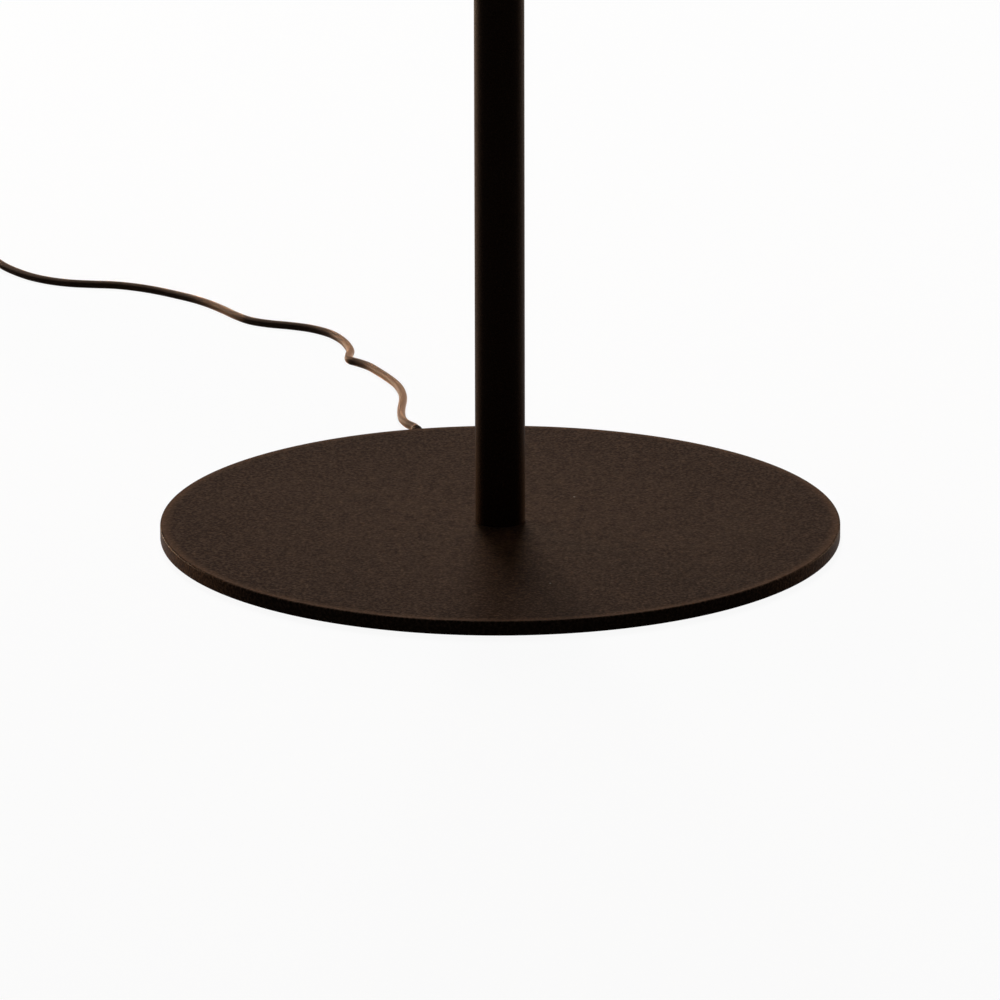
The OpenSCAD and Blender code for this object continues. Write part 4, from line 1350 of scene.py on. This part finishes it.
@dataclass
class Adapter:
    """Plug-in adapter at the cord's far end."""

    nodes: Nodes
    cord_end: Vector
    relief_l: float = 14.0
    case_w: float = 38.0
    case_h: float = 32.0
    case_l: float = 44.0
    case_r: float = 6.0
    back_r: float = 5.0
    front_l: float = 12.0
    front_inset: float = 1.5
    pin_r: float = 2.0
    pin_l: float = 19.0
    pin_end_r: float = 1.4
    pin_flat: float = 0.3
    pin_gap: float = 19.0
    sleeve_l: float = 10.0

    def case_mesh(self, name: str, stations: Sequence[Point]) -> Mesh:
        """Makes a part of the case from its outline at places along it.

        Args:
            name: the mesh's name.
            stations: for each place, its distance from the cord's end and how far the outline is drawn in.

        Returns:
            The mesh.
        """
        rings = []
        for along, inset in stations:
            wide, high, radius = self.case_w / 2 - inset, self.case_h / 2 - inset, self.case_r - inset
            ring = []
            for k, (right, up) in enumerate(((1, 1), (-1, 1), (-1, -1), (1, -1))):
                for a in fan(90, 8, 90 * k):
                    x = right * (wide - radius) + radius * math.cos(a)
                    z = up * (high - radius) + radius * math.sin(a)
                    ring.append(Vector((self.cord_end.x + x, self.cord_end.y - along, self.case_h / 2 + z)))
            rings.append(ring)
        return lofted(name, rings)

    def pins(self, root: float) -> Mesh:
        """Makes both pins, each with a sleeve at its root.

        Args:
            root: the root's distance from the cord's end.

        Returns:
            The mesh, with the bare metal as its second finish.
        """
        r, length = self.pin_r, self.pin_l
        tip = rounded([(r, 0, 0), (r, length, self.pin_end_r), (self.pin_flat, length, 0)], 6)[1:-1]
        outline = [(0, 0), (r, 0), (r, self.sleeve_l), *tip, (0, length)]
        pair = []
        for side in (-1, 1):
            at = (self.cord_end.x + side * self.pin_gap / 2, self.cord_end.y - root, self.case_h / 2)
            pair.append(turned("pin", outline, 40, Axis.ALONG_MINUS_Y, at, lining_from=2))
        return merged("pins", pair)

    def build(self) -> list[Object]:
        """Makes the case, front and pins, and dresses the relief.

        Returns:
            The adapter's pieces.
        """
        start, r, i = self.relief_l, self.back_r, self.front_inset
        end = start + self.case_l
        tip = end + self.front_l
        back = [(start + r * (1 - math.sin(a)), r * (1 - math.cos(a))) for a in reversed(fan(90, 8))]
        case = [*back, (end - 1.2, 0.0), (end - 0.5, 0.0), (end - 0.15, 0.15), (end, 0.5)]
        front = [(end, i), (end + 0.5, i), (tip - 2.0, i), (tip - 1.2, i), (tip - 0.7, i + 0.15),
                 (tip - 0.2, i + 0.6), (tip, i + 1.3), (tip, i + 2.5)]
        shell, face = self.case_mesh("case", case), self.case_mesh("front", front)
        pieces = [
            add_piece("adapter_shell", shell, Body.STAND, [DARK_NYLON], ["adapter_case"]),
            add_piece("adapter_face", face, Body.STAND, [DARK_NYLON], ["adapter_front"]),
            add_piece("adapter_prongs", self.pins(tip), Body.STAND, [DARK_NYLON, NICKEL],
                      ["adapter_pins"]),
        ]
        dress(self.nodes, DARK_NYLON, "adapter_relief")
        return [*pieces, self.nodes["adapter_relief"]]


@dataclass(frozen=True)
class Knob:
    """A turned knob with a dished top and flutes round its side."""

    name: str
    node: str
    body: Body
    diameter: float
    height: float
    hole_d: float
    hole_depth: float
    at: Place
    axis: Axis = Axis.UP
    foot_edge: float = 1.1
    top_edge: float = 1.3
    dish_edge: float = 0.5
    dish_depth: float = 0.5
    lip_w: float = 3.2
    slope_w: float = 0.8
    flute_w: float = 2.6
    flute_depth: float = 0.7
    flute_steps: int = 12

    def dish(self) -> float:
        """Gives the height of the dish over the knob's underside."""
        return self.height - self.dish_depth

    def build(self) -> None:
        """Makes the knob."""
        r, hole, dish = self.diameter / 2, self.hole_d / 2, self.dish()
        flat = r - self.lip_w
        flutes = math.floor(math.pi * self.diameter / self.flute_w)
        side = rounded([
            (hole, 0, BORE_EDGE), (r, 0, self.foot_edge), (r, self.height, self.top_edge),
            (flat, self.height, self.dish_edge), (flat - self.slope_w, dish, self.dish_edge), (0.8, dish, 0),
        ], 5)
        outline = [(0, self.hole_depth), (hole, self.hole_depth), *side, (0, dish)]
        mesh = turned(self.node, outline, flutes * self.flute_steps)
        mesh = shaped(mesh, Shapers.flutes(), COAT, Flutes=flutes, Depth=self.flute_depth * MM, Radius=r * MM)
        mesh.transform(Matrix.Translation(Vector(self.at) * MM) @ self.axis.value)
        add_piece(self.name, mesh, self.body, [COAT], [self.node])


DIMMER_KNOB = Knob("dimmer_grip", "dimmer_knob", Body.DIMMER, 20, 14, 5.1, 7, (0, 0, 1287.1))
ELBOW_KNOB = Knob("elbow_grip", "elbow_knob", Body.ELBOW_CLAMP, 22, 12, 8.1, 8, (220, 0, 1296.3))
TILT_KNOB = Knob("tilt_grip", "tilt_knob", Body.TILT_CLAMP, 18, 11, 6.1, 7, (450, -9.3, 1286.1),
                 Axis.ALONG_MINUS_Y)

# Each cast fitting's piece, CAD node, body and size of its skin's cells
FITTINGS: tuple[tuple[str, str, Body, float], ...] = (
    ("hub", "swivel_hub", Body.INNER_ARM, 0.45),
    ("elbow_low", "elbow_lower", Body.INNER_ARM, 0.35),
    ("elbow_cap", "elbow_nut", Body.INNER_ARM, 0.3),
    ("elbow_high", "elbow_upper", Body.OUTER_ARM, 0.35),
    ("fork", "tilt_fork", Body.OUTER_ARM, 0.35),
    ("tilt_cap", "tilt_nut", Body.OUTER_ARM, 0.3),
    ("stem", "head_stem", Body.HEAD, 0.35),
)


@dataclass
class SwingArm:
    """Hub, dimmer, both arm tubes, elbow and tilt fork."""

    nodes: Nodes
    tube_r: float = 6.0
    tube_bore: float = 4.8
    index_turn: float = 225.0
    index_w: float = 1.2
    index_span: Point = (2.5, 5.6)
    index_sunk: float = 0.25
    index_proud: float = 0.06
    index_edge: Point = (0.06, 0.04)

    def tube(self, node: str, body: Body) -> None:
        """Makes an arm tube over its CAD node's length.

        Args:
            node: the CAD node.
            body: the body that it rides on.
        """
        low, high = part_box(node)
        outline = tube_outline(self.tube_bore, self.tube_r, 0, (high[0] - low[0]) / MM)
        at = (low[0] / MM, 0, (low[2] + high[2]) / 2 / MM)
        add_piece("arm_" + node, turned(node, outline, 96, Axis.ALONG_X, at), body, [COAT], [node])

    def index(self, knob: Knob) -> None:
        """Makes the pale index line in a knob's dish.

        Args:
            knob: the knob.
        """
        dish = knob.at[2] + knob.dish()
        low, high = dish - self.index_sunk, dish + self.index_proud
        start, end = self.index_span
        half = self.index_w / 2
        drawn_in, below = self.index_edge
        rings = []
        for z, i in ((low, 0.0), (high - below, 0.0), (high, drawn_in)):
            ends = ((start + i, -half + i), (end - i, -half + i), (end - i, half - i), (start + i, half - i))
            rings.append([Vector((x, y, z)) for x, y in ends])
        mesh = lofted("index", rings)
        mesh.transform(Matrix.Rotation(math.radians(self.index_turn), 4, "Z"))
        add_piece("dimmer_index", mesh, Body.DIMMER, [PALE_NYLON], [])

    def build(self) -> None:
        """Makes the pieces and dresses the CAD nodes that stay."""
        for name, node, body, voxel in FITTINGS:
            add_piece(name, cast(node, self.nodes[node], voxel), body, [COAT], [node])
        self.tube("inner_tube", Body.INNER_ARM)
        self.tube("outer_tube", Body.OUTER_ARM)
        DIMMER_KNOB.build()
        self.index(DIMMER_KNOB)
        ELBOW_KNOB.build()
        TILT_KNOB.build()
        dress(self.nodes, GREY_PLASTIC, "dimmer_case")
        dress(self.nodes, STEEL, "dimmer_spindle")
        dress(self.nodes, ELBOW_STEEL, "elbow_bolt")
        dress(self.nodes, TILT_STEEL, "tilt_pin")
        dress(self.nodes, PALE_NYLON, "elbow_washer", "tilt_washers")
        dress(self.nodes, BROWN_SHEATH, "inner_cable", "outer_cable")


@dataclass
class HeatSink:
    """Turned heat sink with its fins and screws, measured from the tilt axis."""

    top: float = -30.0
    low: float = SHADE_TOP
    wire_r: float = 2.0
    stem_r: float = 5.05
    stem_depth: float = 12.2
    core_r: float = 14.0
    core_edge: float = 1.0
    core_drop: float = 0.2
    fin_bore: float = 5.2
    fin_r: float = 21.0
    fin_t: float = 2.0
    fin_edge: float = 0.4
    fin_count: int = 7
    foot_r: float = 30.0
    foot_t: float = 5.0
    screw_ring: float = 25.0
    screw_count: int = 3
    screw_turn: float = 30.0
    thread_r: float = 1.5
    thread_l: float = 10.8
    cap_r: float = 2.75
    cap_h: float = 3.0
    socket_rim: float = 1.7
    socket: tuple[Point, ...] = ((1.45, 2.9), (1.35, 1.2))
    socket_end: float = 1.0
    socket_flat: float = 1.25

    def body(self) -> None:
        """Makes the core with its foot and the fins round it."""
        top, low, foot = self.top, self.low, self.low + self.foot_t
        face, seat, under = top - self.core_drop, top - self.stem_depth, top - self.fin_t
        core = turned("core", rounded([
            (self.wire_r, low, 0), (self.foot_r, low, 0.4), (self.foot_r, foot, 0.7),
            (self.core_r, foot, 1.2), (self.core_r, top - self.core_edge, 0),
            (self.core_r - self.core_edge, face, 0), (self.stem_r, face, BORE_EDGE),
            (self.stem_r, seat, 0), (self.wire_r, seat, 0),
        ]), 128)
        fin = turned("fin", rounded([
            (self.fin_bore, under, 0), (self.fin_r, under, self.fin_edge),
            (self.fin_r, top, self.fin_edge), (self.fin_bore, top, 0),
        ], 3), 128)
        pitch = (top - foot) / self.fin_count
        fins = shaped(fin, Shapers.stack(), SINK, Count=self.fin_count, Pitch=-pitch * MM, Last_size=1.0)
        mesh = merged("heat_sink", [core, fins])
        mesh.transform(Matrix.Translation(Vector(TILT_AT) * MM))
        add_piece("sink", mesh, Body.HEAD, [SINK], ["heat_sink"])

    def screws(self) -> None:
        """Makes the cap screws on the foot, each with its hexagon socket."""
        z = self.low + self.foot_t
        end, top, floor = z - self.thread_l, z + self.cap_h, z + self.socket_end
        outline = rounded([
            (self.thread_r, end, 0.3), (self.thread_r, z, 0), (self.cap_r, z, 0.15), (self.cap_r, top, 0.4),
            (self.socket_rim, top, 0.15),
        ], 3)
        socket = [(r, z + up) for r, up in self.socket]
        work = bmesh.new()
        work.from_mesh(turned("screw", [(0, end), *outline, *socket, (0, floor)], 36))
        for vert in work.verts:
            reach = math.hypot(vert.co.x, vert.co.y) / MM
            if self.socket_flat < reach < self.thread_r and vert.co.z > floor * MM:
                turn = math.atan2(vert.co.y, vert.co.x) % math.radians(60) - math.radians(30)
                vert.co.xy *= self.socket_flat / math.cos(turn) / reach
        mesh = shaped(as_mesh(work, "head_screws"), Shapers.circle(), HEAD_STEEL, Count=self.screw_count,
                      Radius=self.screw_ring * MM, First_turn=math.radians(self.screw_turn))
        mesh.transform(Matrix.Translation(Vector(TILT_AT) * MM))
        add_piece("sink_screws", mesh, Body.HEAD, [HEAD_STEEL], ["head_screws"])

    def build(self) -> None:
        """Makes the pieces."""
        self.body()
        self.screws()


@dataclass
class Shade:
    """Spun shade, measured from the tilt axis."""

    top: float = SHADE_TOP
    hole_r: float = 7.0
    flat_r: float = 35.0
    shoulder_r: float = 16.0
    slope: float = 66.0
    height: float = 105.0
    wall: float = 1.0
    wall_steps: int = 6
    bead_r: float = 1.5

    def build(self) -> None:
        """Makes the shade: coated outside, white inside, with a rolled bead at its mouth."""
        top, r, wall, steps = self.top, self.shoulder_r, self.wall, self.wall_steps
        slope = math.radians(self.slope)
        run = Vector((math.cos(slope), -math.sin(slope)))
        out = Vector((math.sin(slope), math.cos(slope)))
        length = (self.height - r * (1 - math.cos(slope))) / math.sin(slope)
        middle = Vector((self.flat_r, top - r))
        shoulder = [Vector((math.sin(a), math.cos(a))) for a in fan(self.slope, 16)]
        outside = [middle + r * way for way in shoulder]
        inside = [middle + (r - wall) * way for way in reversed(shoulder)]
        bead = (outside[-1] + inside[0]) / 2 + run * length
        roll = [bead + self.bead_r * (math.cos(a) * -run + math.sin(a) * out) for a in fan(320, 20, 20)]
        walls = [outside[-1] + run * length * k / steps for k in range(1, steps)]
        lining = [inside[0] + run * length * k / steps for k in range(steps - 1, 0, -1)]
        skin = [(p.x, p.y) for p in [*outside, *walls, *roll, *lining, *inside]]
        outline = [(self.hole_r, top), *skin, (self.hole_r, top - wall)]
        lining_from = len(outside) + len(walls) + len(roll)
        mesh = turned("shade", outline, 192, Axis.UP, TILT_AT, lining_from)
        add_piece("shade_bell", mesh, Body.HEAD, [COAT, ENAMEL], ["shade"])


@dataclass
class LightUnit:
    """Opal cup and ring with the carrier, board and chips, measured from the tilt axis."""

    nodes: Nodes
    flange: float = -82.0
    lip: float = -84.0
    wall_low: float = -90.0
    flange_r: float = 30.0
    cup_r: float = 28.0
    cup_drop: float = 8.0
    cup_wall: float = 2.0
    ring_small_r: float = 28.05
    ring_bore_r: float = 31.05
    ring_r: float = 32.85
    ring_rise: float = 3.0
    ring_drop: float = 1.65
    ring_gap: float = 0.05

    def cup(self) -> None:
        """Makes the opal cup."""
        low, turns = self.wall_low, fan(90, 12)[:-1]
        out_r, out_drop = self.cup_r, self.cup_drop
        in_r, in_drop = out_r - self.cup_wall, out_drop - self.cup_wall
        outside = [(out_r * math.cos(a), low - out_drop * math.sin(a)) for a in turns]
        inside = [(in_r * math.cos(a), low - in_drop * math.sin(a)) for a in reversed(turns)]
        flange = [(self.flange_r, self.flange), (self.flange_r, self.lip)]
        edge = [(in_r, self.flange), *flange, (out_r, self.lip)]
        outline = [(0, low - in_drop), *inside, *edge, *outside, (0, low - out_drop)]
        mesh = turned("diffuser", outline, 128, Axis.UP, TILT_AT)
        add_piece("opal_cup", mesh, Body.HEAD, [OPAL], ["diffuser"])

    def ring(self) -> None:
        """Makes the ring that holds the cup."""
        small, bore, wide = self.ring_small_r, self.ring_bore_r, self.ring_r
        top, under, seat = self.flange + self.ring_rise, self.lip - self.ring_drop, self.lip - self.ring_gap
        outline = rounded([
            (bore, top, 0), (wide, top, 0.3), (wide, under, 0.8), (small, under, 0.3), (small, seat, 0),
            (bore, seat, 0),
        ])
        mesh = turned("diffuser_ring", outline, 128, Axis.UP, TILT_AT)
        add_piece("cup_ring", mesh, Body.HEAD, [WHITE_RING], ["diffuser_ring"])

    def build(self) -> None:
        """Makes the pieces and dresses the CAD nodes that stay."""
        self.cup()
        self.ring()
        dress(self.nodes, ALUMINIUM, "led_carrier")
        dress(self.nodes, WHITE_BOARD, "led_board")
        dress(self.nodes, CHIP, "led_chips")
        dress(self.nodes, WHITE_SHEATH, "head_cable")


# Studio


@dataclass(frozen=True)
class Panel:
    """A soft light panel, placed in metres."""

    name: str
    place: Place
    aim: Place
    size: Point
    power: float
    spread: float = 180.0
    glow: str = "ffffff"

    def hang(self) -> None:
        """Adds the panel's light to the scene, out of the camera's sight."""
        data = bpy.data.lights.new(self.name, "AREA")
        data.spread = math.radians(self.spread)
        data.shape = "RECTANGLE"
        data.size, data.size_y = self.size
        data.energy = self.power
        data.color = tint(self.glow)[:3]
        made = linked(self.name, data)
        made.location = self.place
        made.rotation_euler = (Vector(self.aim) - Vector(self.place)).to_track_quat("-Z", "Y").to_euler()
        made.visible_camera = False


FOOT: Place = (0.0, 0.0, 0.12)
STRIP: Point = (1.0, 0.24)
STRIP_SPREAD = 44.0
WARM = "ffd8b0"
PANELS = (
    Panel("back_panel", (-0.14, 2.0, 2.9), (0.0, 0.0, 0.1), (0.72, 1.3), 76.0),
    Panel("fill_panel", (-2.5, -5.0, 4.0), (0.1, 0.0, 0.6), (3.0, 3.0), 5.0),
    Panel("arm_panel", (2.3, -1.7, 2.3), (0.3, 0.0, 1.24), (0.8, 0.7), 3.0, spread=18.0),
    Panel("left_strip", (-1.75, 2.0, 0.12), FOOT, STRIP, 7.0, STRIP_SPREAD, WARM),
    Panel("right_strip", (1.75, 2.0, 0.12), FOOT, STRIP, 2.8, STRIP_SPREAD, WARM),
)


@dataclass
class Studio:
    """Floor, light panels, world and camera, in metres."""

    target: Place = (-0.00007, 0.0, 0.01682)
    distance: float = 4.5
    elevation: float = 16.646
    roll: float = -0.126
    lens: float = 367.4
    sensor: float = 36.0
    clip: Point = (0.1, 200.0)
    floor_r: float = 80.0
    floor_white: float = 0.93
    floor_tint: str = "505050"
    soft_light: float = 0.02

    @staticmethod
    def shown(graph: Graph) -> NodeSocket:
        """Gives 1 for rays that show the background: from the camera, in gloss or through glass.

        Args:
            graph: the node tree.

        Returns:
            The share.
        """
        rays = graph.add("ShaderNodeLightPath").outputs
        seen = graph.math("MAXIMUM", rays["Is Camera Ray"], rays["Is Glossy Ray"])
        return graph.math("MAXIMUM", seen, rays["Is Transmission Ray"])

    def floor(self) -> None:
        """Makes the pale floor, which shows white and keeps the lamp's shadow."""
        work = bmesh.new()
        bmesh.ops.create_circle(work, cap_ends=True, radius=self.floor_r, segments=64)
        made = linked("floor", as_mesh(work, "floor"))
        paint = bpy.data.materials.new("pale_floor")
        graph = Graph(emptied(paint))
        shown = self.shown(graph)
        colour = graph.blend(shown, tint(self.floor_tint), tint("ffffff"))
        matt = graph.add("ShaderNodeBsdfDiffuse", {"Color": colour})
        white = graph.add("ShaderNodeEmission", {"Color": (1.0, 1.0, 1.0, 1.0), "Strength": 1.0})
        share = graph.times(shown, self.floor_white)
        both = graph.add("ShaderNodeMixShader", {0: share, 1: matt.outputs[0], 2: white.outputs[0]})
        graph.add("ShaderNodeOutputMaterial", {"Surface": both.outputs[0]})
        made.data.materials.append(paint)

    def world(self) -> None:
        """Makes the surroundings: white at the horizon, grey overhead, and dimmer as light than they show."""
        world = bpy.data.worlds.new("studio")
        graph = Graph(emptied(world))
        inputs = {"Color": (1.0, 0.98, 0.96, 1.0), "Strength": self.soft_light}
        soft = graph.add("ShaderNodeBackground", inputs)
        height = graph.parts(graph.add("ShaderNodeTexCoord").outputs["Generated"])[2]
        level = graph.span(height, 0.08, 0.26, 1.0, 0.2)
        white = graph.add("ShaderNodeBackground", {"Color": (1.0, 1.0, 1.0, 1.0), "Strength": level})
        shares = {0: self.shown(graph), 1: soft.outputs[0], 2: white.outputs[0]}
        both = graph.add("ShaderNodeMixShader", shares)
        graph.add("ShaderNodeOutputWorld", {"Surface": both.outputs[0]})
        bpy.context.scene.world = world

    def camera(self) -> None:
        """Sets up the camera at the photograph's angle."""
        data = bpy.data.cameras.new("camera")
        data.lens = self.lens
        data.sensor_width = self.sensor
        data.clip_start, data.clip_end = self.clip
        made = linked("camera", data)
        rise = math.radians(self.elevation)
        back = Vector((0, -math.cos(rise), math.sin(rise)))
        made.location = Vector(self.target) + back * self.distance
        level = (-back).to_track_quat("-Z", "Y")
        made.rotation_euler = (level @ Quaternion((0, 0, 1), math.radians(self.roll))).to_euler()
        bpy.context.scene.camera = made

    def build(self) -> None:
        """Sets up the whole studio."""
        bpy.context.scene.view_settings.view_transform = "Standard"
        self.camera()
        self.floor()
        self.world()
        for panel in PANELS:
            panel.hang()


def main() -> None:
    """Builds the lamp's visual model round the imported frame."""
    logging.basicConfig(level=logging.INFO, format="%(name)s %(message)s")
    for left_over in list(bpy.data.objects):
        bpy.data.objects.remove(left_over)
    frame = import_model()
    Studio().build()
    nodes = frame["nodes"]
    for assembly in (CordSet(nodes), Stand(nodes), SwingArm(nodes), HeatSink(), Shade(), LightUnit(nodes)):
        assembly.build()


if __name__ == "__main__":
    main()
